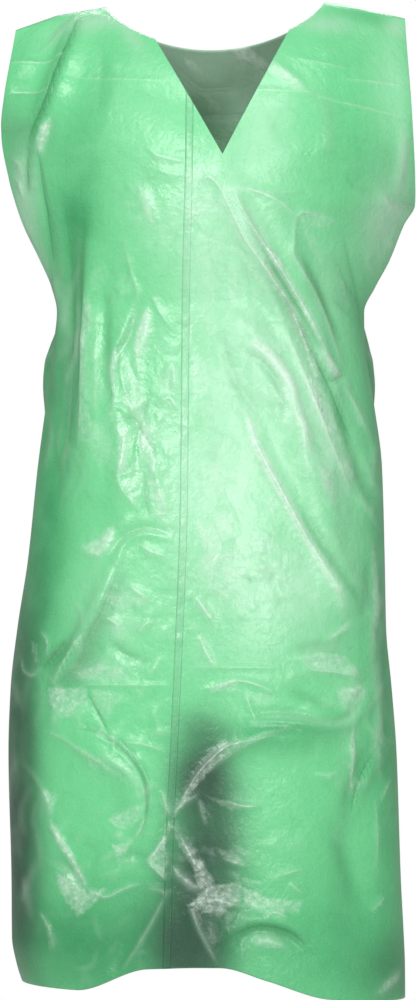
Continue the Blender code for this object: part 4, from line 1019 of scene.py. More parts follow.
@dataclass
class Film:
    """A width of film: a grid on the form, with its relief and its tones at each point."""

    side: Side
    landmarks: tuple[Landmark, ...]
    steps: tuple[int, ...]
    rows: int
    hem: tuple[HemPoint, ...]
    folds: tuple[Crease, ...]
    creases: tuple[Crease, ...]
    crumples: tuple[Crumple, ...]
    patches: Mapping[Tone, tuple[Patch, ...]]
    # The faces that carry painted highlights.
    faces: tuple[PaintedHighlight, ...]
    seed: int
    wall: float = 0.35
    length: float = 920.0
    neckline_fade: float = 420.0
    hem_shape_from: float = 640.0
    settling_rounds: int = 40
    fold_ends: float = 0.35
    side_calm: float = 0.06
    shoulder_calm: float = 16.0
    small_side_calm: float = 0.02
    small_shoulder_calm: float = 6.0
    plane_gap: float = 0.04
    neck_calm: float = 9.0
    least_bend: float = 1.6
    line_share: float = 0.8
    line_reach: float = 4.0
    full_gleam: float = 2.4
    face_reach: float = 6.0
    face_fade: float = 0.8
    dark_edge: float = 1.4
    x: Array = field(init=False)
    z: Array = field(init=False)
    outer: Array = field(init=False)
    out: Array = field(init=False)
    tones: dict[str, Array] = field(init=False)

    def __post_init__(self) -> None:
        """Lays the grid on the form and lifts it into its creases."""
        self.lay_out()
        way = self.outward
        points = np.stack((self.x, way * FORM.depth(self.x, self.z, self.side), self.z), axis=2)
        # The tint holds painted crease shade, the gleam and the shine painted highlights, and most tones
        # painted light or shade.
        names = ("tint", "gleam", "shine", *(tone.value for tone in Tone))
        self.tones = {name: np.zeros(self.x.shape) for name in names}
        self.tones["face"] = np.full(self.x.shape, -self.face_reach)
        for layer in range(LINE_LAYERS):
            self.tones[f"away{layer}"] = np.full(self.x.shape, self.line_reach)
            self.tones[f"mark{layer}"] = np.zeros(self.x.shape)
        lift = self.fold_relief() + self.crease_relief()
        points += self.normals(points) * lift[:, :, None]
        self.outer = points
        self.out = self.normals(points)
        self.mark_tones()

    @property
    def outward(self) -> int:
        """The sign of y on this panel."""
        return -1 if self.side is Side.FRONT else 1

    def shares(self, z: Array) -> Array:
        """Each column's share of the half width, with even steps round the form between landmarks.

        Args:
            z: the heights, a column of the grid in each last place.

        Returns:
            The shares, from -1 to 1.
        """
        shares = np.empty(z.shape)
        column = 0
        for start, end, count in zip(self.landmarks[:-1], self.landmarks[1:], self.steps):
            part = z[..., column : column + count + 1]
            first, last = start.turn(part), end.turn(part)
            turn = first + (last - first) * self.even(start, end, count)
            shares[..., column : column + count + 1] = np.sin(turn)
            column += count
        return shares

    def even(self, start: Landmark, end: Landmark, count: int) -> Array:
        """How far between two landmarks each column goes, so that the cells are as wide all round.

        Args:
            start: the first line.
            end: the second line.
            count: the steps between them.

        Returns:
            The way of each column, from 0 to 1.
        """
        waist = np.array([-self.neckline_fade])
        turns = np.linspace(start.turn(waist)[0], end.turn(waist)[0], 60)
        middle = (turns[1:] + turns[:-1]) / 2
        length = np.concatenate(([0], np.cumsum(np.hypot(1.5 * np.cos(middle), np.sin(middle)))))
        way = np.interp(np.linspace(0, length[-1], count + 1), length, turns)
        return (way - turns[0]) / (turns[-1] - turns[0])

    def lay_out(self) -> None:
        """Places the grid in the front view, from the top edge down to the hem."""
        edge = np.zeros(sum(self.steps) + 1)
        for _ in range(self.settling_rounds):
            edge = FORM.top(FORM.x_of(self.shares(edge), edge), self.side)
        levels = np.linspace(0, self.length, self.rows + 1)[:, None]
        fade = np.clip(1 - levels / self.neckline_fade, 0, 1)
        hem_pull = eased((levels - self.hem_shape_from) / (self.length - self.hem_shape_from))
        around = self.shares(np.full(edge.shape, -self.length))
        hem_drop = smooth(self.hem, "drop", around, key="share")[None]
        self.z = -levels + fade * edge[None] - hem_pull * (hem_drop - self.length)
        self.x = FORM.x_of(self.shares(self.z), self.z)

    def normals(self, points: Array) -> Array:
        """Unit directions out of the panel at each of the grid's points."""
        out = np.cross(np.gradient(points, axis=1), np.gradient(points, axis=0)) * self.outward
        return out / np.linalg.norm(out, axis=2, keepdims=True)

    def calm(self, share: float, drop: float) -> Array:
        """1 over the panel, and 0 at its side and shoulder seams.

        Args:
            share: how near a side, as a share of the half width, it starts to fade.
            drop: how near the shoulder line it starts to fade.

        Returns:
            The factor at each point.
        """
        beside = eased((1 - np.abs(FORM.share_of(self.x, self.z))) / share)
        by_neck = 0.15 + 0.85 * eased((FORM.top(self.x, self.side) - self.z) / self.neck_calm)
        below = eased((FORM.ridge(self.x) - self.z) / drop)
        return beside * below * (by_neck if share < self.side_calm else 1)

    def fold_relief(self) -> Array:
        """How far the main folds lift the film.

        Returns:
            The lift at each point, in millimetres.
        """
        lift = np.zeros(self.x.shape)
        for fold in self.folds:
            away, along, _ = self.distances(fold.path, self.x, self.z)
            taper = self.fold_ends + (1 - self.fold_ends) * np.sin(pi * along)
            lift += fold.height * taper * np.exp(-((away / fold.width) ** 2))
        return lift * self.calm(self.side_calm, self.shoulder_calm)

    def crease_relief(self) -> Array:
        """How far the named creases and the small ones lift the film. It also marks their painted shade and
        painted highlights.

        Returns:
            The lift at each point, in millimetres.
        """
        lift = np.zeros(self.x.shape)
        chance = np.random.default_rng(self.seed)
        small = (crease for crumple in self.crumples for crease in self.scatter(crumple, chance))
        for crease in (*self.creases, *small):
            self.press(crease, lift)
        self.draw_lines()
        return lift * self.calm(self.small_side_calm, self.small_shoulder_calm)

    def press(self, crease: Crease, lift: Array) -> None:
        """Adds one crease to the lift, to its painted shade and to its painted highlight, near its path only.

        Args:
            crease: the crease.
            lift: the lift so far, which it changes.
        """
        reach = 4 * crease.width
        xs, drops = zip(*crease.path)
        near = (self.x > min(xs) - reach) & (self.x < max(xs) + reach)
        near &= (-self.z > min(drops) - reach) & (-self.z < max(drops) + reach)
        if not near.any():
            return
        away, along, turned = self.distances(crease.curve(), self.x[near], self.z[near])
        away = away / crease.width
        taper = np.sqrt(np.clip(np.sin(pi * np.clip(along, 0.015, 0.985)), 0, 1))
        match crease.bend:
            case Bend.ROUND:
                profile = np.exp(-(away**2))
            case Bend.SHARP:
                blunt = self.least_bend / crease.width
                profile = np.exp(blunt - np.hypot(away, blunt))
            case Bend.TUCK:
                profile = 1.65 * turned * away * np.exp(-(away**2) / 2)
        lift[near] += crease.height * taper * profile
        core = taper * np.exp(-((away / self.line_share) ** 2))
        if crease.bend is Bend.TUCK:
            low = turned * crease.height < 0
            core = taper * np.exp(-((away / np.where(low, 1.5, 0.7)) ** 2))
        # Painted shade along the crease.
        self.tones["tint"][near] += max(crease.tint, 0) * core
        # A raised crease also gets a painted highlight along it.
        if crease.height > 0:
            self.tones["gleam"][near] += min(crease.height / self.full_gleam, 1) * (1 - crease.tint) * core

    def draw_lines(self) -> None:
        """Marks the thin line of each named crease, a painted highlight or painted shade, by its distance, so
        that it stays finer than the grid.

        Creases near each other go to different layers, and one that finds no free layer has no line.
        """
        layers: list[list[Array]] = [[] for _ in range(LINE_LAYERS)]
        for crease in self.creases:
            if crease.bend is Bend.ROUND:
                continue
            xs, drops = np.array(crease.curve(), float).T
            way = np.concatenate(([0], np.cumsum(np.hypot(np.diff(xs), np.diff(drops)))))
            steps = np.linspace(0, way[-1], 2 + int(way[-1] / 4))
            points = np.stack((np.interp(steps, way, xs), np.interp(steps, way, drops)), axis=1)
            for layer, held in enumerate(layers):
                others = np.concatenate(held) if held else np.full((1, 2), np.inf)
                gap = np.linalg.norm(points[:, None] - others[None], axis=2).min()
                if gap > 3 * self.line_reach:
                    held.append(points)
                    self.draw_line(crease, layer)
                    break

    def draw_line(self, crease: Crease, layer: int) -> None:
        """Writes one crease's signed distance and strength to a layer. A positive strength is a painted
        highlight, a negative one painted shade.

        Args:
            crease: the crease.
            layer: the number of the layer.
        """
        reach = self.line_reach
        xs, drops = zip(*crease.path)
        near = (self.x > min(xs) - reach) & (self.x < max(xs) + reach)
        near &= (-self.z > min(drops) - reach) & (-self.z < max(drops) + reach)
        away, along, turned = self.distances(crease.curve(), self.x[near], self.z[near])
        taper = np.sqrt(np.clip(np.sin(pi * along), 0, 1)) * np.clip(1.6 - 1.6 * away / reach, 0, 1)
        # The line's painted highlight, less its painted shade.
        bright = min(abs(crease.height) / self.full_gleam, 1) * (1 if crease.height > 0 else 0)
        strength = bright * min(1 - crease.tint, 1) - max(crease.tint, 0)
        inside = away < reach
        for name, value in ((f"away{layer}", away * turned), (f"mark{layer}", strength * taper)):
            self.tones[name][near] = np.where(inside, value, self.tones[name][near])

    def scatter(self, crumple: Crumple, chance: np.random.Generator) -> Iterable[Crease]:
        """The small creases of a crumpled patch.

        Args:
            crumple: the patch.
            chance: the seeded source of their places.

        Yields:
            Each crease.
        """
        for number in range(crumple.count):
            far, turn = np.sqrt(chance.random()), 2 * pi * chance.random()
            lean = radians(crumple.lean)
            u, v = crumple.half_width * far * cos(turn), crumple.half_height * far * sin(turn)
            x = crumple.x + u * cos(lean) - v * sin(lean)
            drop = crumple.drop + u * sin(lean) + v * cos(lean)
            way = lean + radians(crumple.spread) * chance.normal()
            half = crumple.length * (0.35 + 0.8 * chance.random()) / 2
            bow = 0.25 * half * chance.normal()
            ahead, aside = np.array([-sin(way), cos(way)]), np.array([cos(way), sin(way)])
            place = np.array([x, drop])
            path = tuple(tuple(place + ahead * half * t + aside * bow * (1 - t * t)) for t in (-1, 0, 1))
            size = 0.35 + 0.9 * chance.random() ** 2
            height = crumple.height * size * (1 if chance.random() < 0.6 else -0.45)
            bend = Bend.SHARP if chance.random() < 0.7 else Bend.ROUND
            width = crumple.width * (0.7 + 0.6 * chance.random())
            # Small hollows get a little painted shade.
            yield Crease(f"{crumple.name} {number}", bend, width, height, 0.08 if height < 0 else 0.0, path)

    @staticmethod
    def distances(path: tuple[Point, ...], x: Array, z: Array) -> tuple[Array, Array, Array]:
        """Where each place lies by a crease's path.

        Args:
            path: the (x, drop) points of the crease.
            x: the places across the front view.
            z: their heights.

        Returns:
            The distance from the path, how far along it from 0 to 1, and 1 or -1 for its side.
        """
        points = np.array([(px, -drop) for px, drop in path], float)
        lengths = np.linalg.norm(np.diff(points, axis=0), axis=1)
        starts = np.concatenate(([0], np.cumsum(lengths)))
        nearest = np.full(x.shape, np.inf)
        along = np.zeros(x.shape)
        turned = np.ones(x.shape)
        for start, end, length, before in zip(points[:-1], points[1:], lengths, starts[:-1]):
            run, rise = (end - start) / length
            way = np.clip((x - start[0]) * run + (z - start[1]) * rise, 0, length)
            dx, dz = x - start[0] - way * run, z - start[1] - way * rise
            gap = np.hypot(dx, dz)
            closer = gap < nearest
            nearest = np.where(closer, gap, nearest)
            along = np.where(closer, (before + way) / starts[-1], along)
            turned = np.where(closer, np.where(dx * rise - dz * run > 0, 1, -1), turned)
        return nearest, along, turned

    def mark_tones(self) -> None:
        """Sets each tone's strength at each point from the patches, and the faces' painted highlights."""
        for tone, patch in [(tone, patch) for tone, group in self.patches.items() for patch in group]:
            lean = radians(patch.lean)
            dx, drop = self.x - patch.x, -self.z - patch.drop
            u = (dx * cos(lean) + drop * sin(lean)) / patch.half_width
            v = (drop * cos(lean) - dx * sin(lean)) / patch.half_height
            held = self.tones[tone.value]
            spread = (u * u + v * v) ** (self.dark_edge if tone is Tone.DARK else 1)
            held += patch.strength * np.exp(-spread) * (1 - np.clip(held, 0, 1))
        # Each face's painted highlight: how far inside it a point lies, and its strength.
        for face in self.faces:
            inside = np.clip(face.depth(self.x, self.z), -self.face_reach, self.face_reach)
            nearer = inside > self.tones["face"]
            self.tones["face"][nearer] = inside[nearer]
            xs, drops = np.array(face.corners).T
            across, down = (self.x - xs.min()) / np.ptp(xs), (-self.z - drops.min()) / np.ptp(drops)
            fade = np.clip(1.25 - self.face_fade * (across + down) / 2, 0.3, 1)
            self.tones["shine"][nearer] = face.strength * fade[nearer]
        for name in ("tint", "gleam", *(tone.value for tone in Tone)):
            self.tones[name] = np.clip(self.tones[name], 0, 1)

    def girth(self) -> Array:
        """How far round the film each point lies from the middle.

        Returns:
            The distance, negative to the left.
        """
        depth = FORM.depth(self.x, self.z, self.side)
        steps = np.hypot(np.diff(self.x, axis=1), np.diff(depth, axis=1))
        way = np.pad(np.cumsum(steps, axis=1), ((0, 0), (1, 0)))
        middle = np.argmin(np.abs(self.x[self.rows // 2]))
        return way - way[:, [middle]] + self.x[:, [middle]]

    def shell(self, name: str) -> "Shell":
        """The closed thin shell of this film, from its outer face in.

        Args:
            name: what the piece is called.

        Returns:
            The shell.
        """
        outer = self.outer
        inner = outer - self.out * self.wall
        if self.side is Side.FRONT:
            inner[:, :, 1] = np.minimum(inner[:, :, 1], -self.plane_gap)
        else:
            inner[:, :, 1] = np.maximum(inner[:, :, 1], self.plane_gap)
        return Shell(name, outer, inner, self.girth(), self.z, self.tones, self.side is Side.FRONT)


@dataclass
class Shell:
    """Two faces that share a grid, and the rim between them."""

    name: str
    outer: Array
    inner: Array
    across: Array
    z: Array
    tones: Mapping[str, Array]
    faces_front: bool

    def build(self) -> bpy.types.Object:
        """Makes the shell's mesh, with the outer face and rim in slot 0 and the inner face in slot 1.

        Returns:
            The piece.
        """
        rows, columns = self.z.shape
        count = rows * columns
        ids = np.arange(count).reshape(rows, columns)
        cells = np.stack((ids[:-1, :-1], ids[1:, :-1], ids[1:, 1:], ids[:-1, 1:]), axis=-1).reshape(-1, 4)
        ring = np.concatenate((ids[0, :-1], ids[:-1, -1], ids[-1, :0:-1], ids[:0:-1, 0]))
        ahead = np.roll(ring, -1)
        rim = np.stack((ring, ahead, ahead + count, ring + count), axis=-1)
        faces = np.concatenate((cells, cells[:, ::-1] + count, rim))
        if not self.faces_front:
            faces = faces[:, ::-1]
        mesh = bpy.data.meshes.new(self.name)
        mesh.vertices.add(2 * count)
        points = np.concatenate((self.outer.reshape(-1, 3), self.inner.reshape(-1, 3))) * MM
        mesh.vertices.foreach_set("co", points.astype(np.float32).ravel())
        mesh.loops.add(faces.size)
        mesh.loops.foreach_set("vertex_index", faces.astype(np.int32).ravel())
        mesh.polygons.add(len(faces))
        mesh.polygons.foreach_set("loop_start", np.arange(0, faces.size, 4, dtype=np.int32))
        mesh.polygons.foreach_set("use_smooth", np.arange(len(faces)) < 2 * len(cells))
        inside = (np.arange(len(faces)) >= len(cells)) & (np.arange(len(faces)) < 2 * len(cells))
        mesh.polygons.foreach_set("material_index", inside.astype(np.int32))
        mesh.update(calc_edges=True)
        self.mark(mesh)
        mesh.validate()
        piece = bpy.data.objects.new(self.name, mesh)
        bpy.context.scene.collection.objects.link(piece)
        return piece

    def mark(self, mesh: bpy.types.Mesh) -> None:
        """Writes the tones, the rim and the flat places of the points for the materials to read.

        Args:
            mesh: the shell's mesh.
        """
        rim = np.zeros(self.z.shape)
        rim[0] = rim[-1] = 1
        rim[:, 0] = rim[:, -1] = 1
        for name, strength in {**self.tones, "rim": rim}.items():
            values = np.tile(strength.ravel(), 2).astype(np.float32)
            mesh.attributes.new(name, "FLOAT", "POINT").data.foreach_set("value", values)
        flat = np.stack((self.across, -self.z, 0 * self.z), axis=-1).reshape(-1, 3) * MM
        cut = mesh.attributes.new("cut", "FLOAT_VECTOR", "POINT")
        cut.data.foreach_set("vector", np.tile(flat, (2, 1)).astype(np.float32).ravel())


Number = "float | int | Wire"


class Wire:
    """A value in a material that Python's operators work on."""

    def __init__(self, board: "Board", socket: bpy.types.NodeSocket) -> None:
        """Holds an output socket of the board's nodes."""
        self.board = board
        self.socket = socket

    def __add__(self, other: Number) -> "Wire":
        """The sum."""
        return self.board.math("ADD", self, other)

    def __sub__(self, other: Number) -> "Wire":
        """The difference."""
        return self.board.math("SUBTRACT", self, other)

    def __rsub__(self, other: Number) -> "Wire":
        """The difference, the other way round."""
        return self.board.math("SUBTRACT", other, self)

    def __mul__(self, other: Number) -> "Wire":
        """The product."""
        return self.board.math("MULTIPLY", self, other)

    def __truediv__(self, other: Number) -> "Wire":
        """The quotient."""
        return self.board.math("DIVIDE", self, other)

    def __pow__(self, other: Number) -> "Wire":
        """The power."""
        return self.board.math("POWER", self, other)

    def __abs__(self) -> "Wire":
        """The size, with no sign."""
        return self.board.math("ABSOLUTE", self)

    __radd__ = __add__
    __rmul__ = __mul__

    def sine(self) -> "Wire":
        """The sine of the value in radians."""
        return self.board.math("SINE", self)

    def clamped(self) -> "Wire":
        """The value kept from 0 to 1."""
        return self.board.wire("ShaderNodeClamp", {}, Value=self)

    def stepped(self, low: float, high: float) -> "Wire":
        """0 below low, 1 above high, and a soft slope between.

        Args:
            low: where the slope starts.
            high: where it ends.

        Returns:
            The step.
        """
        return self.board.wire(
            "ShaderNodeMapRange",
            {"interpolation_type": "SMOOTHSTEP"},
            **{"Value": self, "From Min": low, "From Max": high},
        )


class Board:
    """The nodes of one material."""

    def __init__(self, name: str) -> None:
        """Starts a material with its shader and nothing linked.

        Args:
            name: what the material is called.
        """
        self.material = bpy.data.materials.new(name)
        self.material.use_nodes = True
        self.tree = self.material.node_tree
        self.shader = self.tree.nodes["Principled BSDF"]

    def node(self, kind: str, settings: Mapping[str, object], **sockets: object) -> bpy.types.Node:
        """Adds a node.

        Args:
            kind: the node's type.
            settings: its properties, set before its sockets.
            sockets: a value or a Wire for each named socket, by name or identifier.

        Returns:
            The node.
        """
        node = self.tree.nodes.new(kind)
        for key, value in settings.items():
            setattr(node, key, value)
        for key, value in sockets.items():
            self.set(node, key, value)
        return node

    def set(self, node: bpy.types.Node, key: str, value: object) -> None:
        """Links a Wire to a node's socket, or sets the socket's value.

        Args:
            node: the node.
            key: the socket's identifier or name.
            value: the Wire, number, vector or linear colour.
        """
        exact = [s for s in node.inputs if s.identifier == key]
        matches = exact or [s for s in node.inputs if s.name == key]
        if isinstance(value, Wire):
            self.tree.links.new(value.socket, matches[0])
        elif isinstance(value, tuple) and len(value) == 3 and matches[0].type == "RGBA":
            matches[0].default_value = (*value, 1.0)
        else:
            matches[0].default_value = value

    def wire(self, kind: str, settings: Mapping[str, object], output: str = "", **sockets: object) -> Wire:
        """Adds a node and gives its first output, or the one of that name or identifier.

        Args:
            kind: the node's type.
            settings: its properties.
            output: the output's name or identifier.
            sockets: a value or a Wire for each named socket.

        Returns:
            The output.
        """
        outputs = self.node(kind, settings, **sockets).outputs
        named = [s for s in outputs if output in (s.identifier, s.name)]
        return Wire(self, named[0] if named else outputs[0])

    def math(self, operation: str, first: Number, second: Number = 0.0) -> Wire:
        """One sum on two values."""
        return self.wire("ShaderNodeMath", {"operation": operation}, Value=first, Value_001=second)

    def vector(
        self, operation: str, first: Wire, second: Wire | tuple[float, ...], output: str = "", **more: Wire
    ) -> Wire:
        """One sum on two vectors, and on a third where the operation takes it.

        Args:
            operation: the kind of sum.
            first: the first vector.
            second: the second vector.
            output: the output's name, where it isn't the first.
            more: the third vector, by its socket.

        Returns:
            The result.
        """
        values = {"Vector": first, "Vector_001": second, **more}
        return self.wire("ShaderNodeVectorMath", {"operation": operation}, output, **values)

    def attribute(self, name: str, output: str = "Fac") -> Wire:
        """A value that the mesh holds at each of its points."""
        return self.wire("ShaderNodeAttribute", {"attribute_name": name}, output)

    def mix(self, first: Colour | Wire, second: Colour | Wire, share: Number) -> Wire:
        """A colour between two, at a share of the way to the second.

        Args:
            first: the colour at share 0.
            second: the colour at share 1.
            share: the share.

        Returns:
            The colour.
        """
        return self.wire(
            "ShaderNodeMix",
            {"data_type": "RGBA"},
            "Result_Color",
            A_Color=first,
            B_Color=second,
            Factor_Float=share,
        )

    def noise(self, place: Wire, scale: float, detail: float = 2.0, **more: float) -> Wire:
        """Soft noise from 0 to 1 at a place."""
        return self.wire("ShaderNodeTexNoise", {}, "Fac", Vector=place, Scale=scale, Detail=detail, **more)


@dataclass(frozen=True)
class FilmFinish:
    """How one face of the film looks. The colours are linear, and several of them are painted light or shade.
    A scale is in features per metre.
    """

    name: str
    plain: Colour = (0.165, 0.71, 0.30)
    # Painted light: the colour of the glowing patches.
    bright: Colour = (0.56, 0.95, 0.66)
    # Painted shade, and in part the deeper green of doubled film.
    deep: Colour = (0.045, 0.40, 0.14)
    pale: Colour = (0.50, 0.88, 0.60)
    # Painted deep shade.
    dark: Colour = (0.026, 0.095, 0.052)
    # Painted highlights and sheen, and the pale fine grain.
    white: Colour = (0.80, 0.97, 0.84)
    # Painted shade of creases and grooves, in part the deeper green of film folded double.
    doubled: Colour = (0.03, 0.28, 0.09)
    edge: Colour = (0.42, 0.66, 0.50)
    edge_share: float = 0.4
    # Shares of the painted crease shade.
    tint_share: float = 0.8
    line_tint: float = 0.75
    # Shares of white for the painted sheen and highlights, and for the grain.
    haze_white: float = 0.3
    gleam_white: float = 0.26
    # Strength of the faces' painted highlights.
    shine: float = 0.3
    fleck_white: float = 0.5
    line_white: float = 0.34
    grain_white: float = 0.09
    roughness: float = 0.34
    ior: float = 1.5
    coat: float = 0.12
    coat_roughness: float = 0.22
    opacity: float = 0.95
    thin_opacity: float = 0.75
    cloud_scale: float = 26.0
    fleck_scale: float = 210.0
    grain_scale: float = 620.0
    swell_scale: float = 42.0
    crinkle_scale: float = 105.0
    wide_face: float = 0.012
    wide_stretch: float = 1.9
    fine_face: float = 0.006
    fine_stretch: float = 1.4
    emboss_pitch: float = 0.0030
    emboss_height: float = 0.02
    facet_height: float = 0.9
    swell_height: float = 0.95
    crinkle_height: float = 0.45
    crest_height: float = 0.6

    def material(self) -> bpy.types.Material:
        """The finish as a material."""
        return FilmBoard(self).dress()


class FilmBoard(Board):
    """The nodes of one face of the film."""

    def __init__(self, finish: FilmFinish) -> None:
        """Reads what the mesh holds at its points, and lays the patterns that several sockets share.

        Args:
            finish: the look to give the film.
        """
        super().__init__(finish.name)
        self.finish = finish
        self.place = self.attribute("cut", "Vector")
        self.tone = {tone: self.attribute(tone.value) for tone in Tone}
        self.cloud = self.noise(self.place, finish.cloud_scale, 3.0)
        self.emboss = self.crossed_lines()
        self.wide = self.cells(finish.wide_face, finish.wide_stretch)
        self.fine = self.cells(finish.fine_face, finish.fine_stretch)
        self.bright_line, self.dark_line, self.crest = self.lines()
        # How strongly the faces' painted highlights show.
        self.lit = self.lit_faces()

    def dress(self) -> bpy.types.Material:
        """Links the finish to the shader, and gives the material.

        Returns:
            The material.
        """
        finish, tone = self.finish, self.tone
        rough = finish.roughness + 0.16 * (self.cloud - 0.5) - 0.08 * tone[Tone.HAZE]
        clearer = tone[Tone.PALE] * (finish.opacity - finish.thin_opacity)
        bump = self.wire("ShaderNodeBump", {}, Strength=1.0, Distance=MM, Height=self.relief())
        for socket, value in (
            ("Base Color", self.colour()),
            ("Roughness", rough.clamped()),
            ("Alpha", finish.opacity - clearer),
            ("IOR", finish.ior),
            ("Coat Weight", finish.coat),
            ("Coat Roughness", finish.coat_roughness),
            ("Normal", bump),
        ):
            self.set(self.shader, socket, value)
        return self.material

    def colour(self) -> Wire:
        """The film's colour, with its tones of painted light and shade, the painted shade and highlights of
        its lines and its painted sheen.

        Returns:
            The colour.
        """
        finish, tone, cloud = self.finish, self.tone, self.cloud
        mottle = self.cell_chance(self.wide) * 0.5 + self.cell_chance(self.fine) * 0.3 + cloud * 0.6 - 0.7
        colour: Colour | Wire = finish.plain
        for over, share in (
            (finish.bright, (tone[Tone.BRIGHT] * (1.0 + 0.5 * mottle)).clamped()),
            (finish.deep, (tone[Tone.DEEP] * (0.5 + cloud)).clamped()),
            (finish.pale, tone[Tone.PALE]),
            (finish.dark, (tone[Tone.DARK] * (0.85 + 0.3 * cloud)).clamped()),
            (finish.doubled, (self.attribute("tint") * finish.tint_share).clamped()),
            (finish.doubled, (self.dark_line * finish.line_tint).clamped()),
            (finish.white, self.whiteness(mottle)),
            (finish.edge, self.attribute("rim") ** 3 * finish.edge_share),
        ):
            colour = self.mix(colour, over, share)
        return colour

    def whiteness(self, mottle: Wire) -> Wire:
        """How white the painted sheen, the painted highlights of the faces and of the bright lines, and the
        fine grain make the film.

        Args:
            mottle: the unevenness from one small face to the next.

        Returns:
            The share of white, from 0 to 1.
        """
        finish, tone = self.finish, self.tone
        flecks = self.noise(self.place, finish.fleck_scale, 3.0, Roughness=0.65).stepped(0.4, 0.7)
        # Painted sheen and painted highlights along raised creases and on the faces.
        haze = (tone[Tone.HAZE] * (0.7 + 1.3 * mottle)).clamped() * finish.haze_white
        sheen = haze + self.attribute("gleam") * finish.gleam_white
        faces = self.lit * (finish.shine + finish.fleck_white * flecks)
        speck = (sheen + faces) * (0.95 + 0.16 * self.emboss)
        # The grain shows less where shade is painted.
        light = 1 - (tone[Tone.DARK] + 0.6 * tone[Tone.DEEP]).clamped() * 0.8
        grain = self.noise(self.place, finish.grain_scale, 2.0).stepped(0.4, 0.75) * finish.grain_white
        thin = self.bright_line * (0.1 + finish.line_white * flecks) + grain * light
        return (speck + thin).clamped()

    def relief(self) -> Wire:
        """The height of what is finer than the mesh, in millimetres.

        Returns:
            The height.
        """
        finish, haze = self.finish, self.tone[Tone.HAZE]
        crumpled = self.facets(self.wide) + self.facets(self.fine) * 0.5
        swell = self.noise(self.place, finish.swell_scale, 3.0, Roughness=0.55)
        crinkle = 1 - abs(self.noise(self.place, finish.crinkle_scale, 2.0) * 2 - 1)
        height = crumpled * (0.45 + haze * 0.5 + self.lit * 0.3) * finish.facet_height
        height = height + swell * finish.swell_height
        height = height + crinkle * (finish.crinkle_height + 0.25 * haze + 0.2 * self.lit)
        return height + self.emboss * finish.emboss_height + self.crest * finish.crest_height

    def lit_faces(self) -> Wire:
        """How strongly the flat faces' painted highlights show, with ragged edges and an uneven middle.

        Returns:
            The strength, from 0 to 1.
        """
        ragged = self.noise(self.place, 150, 4.0, Roughness=0.7) * 9.0 - 4.5
        uneven = self.noise(self.place, 110, 3.0, Roughness=0.6).stepped(0.25, 0.7)
        inside = (self.attribute("face") + ragged).stepped(-1.6, 2.6)
        return inside * self.attribute("shine") * (0.45 + 0.55 * uneven)

    def lines(self) -> tuple[Wire, Wire, Wire]:
        """The creases' thin lines.

        Returns:
            How strong the lines' painted highlight and painted shade are, and the height of their crests.
        """
        bright = dark = crest = self.attribute("mark0") * 0.0
        for layer in range(LINE_LAYERS):
            mark, away = self.attribute(f"mark{layer}"), abs(self.attribute(f"away{layer}"))
            line = 1 - away.stepped(0.2, 1.0)
            bright = bright + self.math("MAXIMUM", mark, 0.0) * line
            dark = dark + self.math("MAXIMUM", mark * -1.0, 0.0) * line
            crest = crest + mark * (1 - away.stepped(0.0, 3.0))
        return bright, dark, crest

    def cells(self, size: float, stretch: float) -> tuple[bpy.types.Node, Wire]:
        """Splits the film into the small faces that crumpling leaves.

        Args:
            size: the width of a face.
            stretch: how many times longer than wide it is.

        Returns:
            The node of the faces, and the place counted in faces.
        """
        wander = self.wire("ShaderNodeTexNoise", {}, "Color", Vector=self.place, Scale=60.0, Detail=2.0)
        warp = self.vector("MULTIPLY_ADD", wander, (0.01, 0.01, 0.0), Vector_002=self.place)
        scaled = self.vector("MULTIPLY", warp, (1 / size, 1 / (size * stretch), 0.0))
        settings = {"feature": "F1", "voronoi_dimensions": "2D"}
        return self.node("ShaderNodeTexVoronoi", settings, Vector=scaled, Scale=1.0), scaled

    def cell_chance(self, cells: tuple[bpy.types.Node, Wire]) -> Wire:
        """A number from 0 to 1 for each small face."""
        split = self.node("ShaderNodeSeparateColor", {}, Color=Wire(self, cells[0].outputs["Color"]))
        return Wire(self, split.outputs[2])

    def facets(self, cells: tuple[bpy.types.Node, Wire]) -> Wire:
        """The height of the small faces, each leaning its own way, where 1 is a face's width.

        Args:
            cells: the faces' node, and the place counted in faces.

        Returns:
            The height.
        """
        node, place = cells
        away = self.vector("SUBTRACT", place, Wire(self, node.outputs["Position"]))
        lean = self.vector("SUBTRACT", Wire(self, node.outputs["Color"]), (0.5, 0.5, 0.5))
        return self.vector("DOT_PRODUCT", away, lean, "Value")

    def crossed_lines(self) -> Wire:
        """The fine crossed lines pressed into the film.

        Returns:
            Their height, from -1 to 1.
        """
        split = self.node("ShaderNodeSeparateXYZ", {}, Vector=self.place)
        across, down = Wire(self, split.outputs[0]), Wire(self, split.outputs[1])
        turn = 2 * pi / self.finish.emboss_pitch
        return (((across + down) * turn).sine() + ((across - down) * turn).sine()) * 0.5


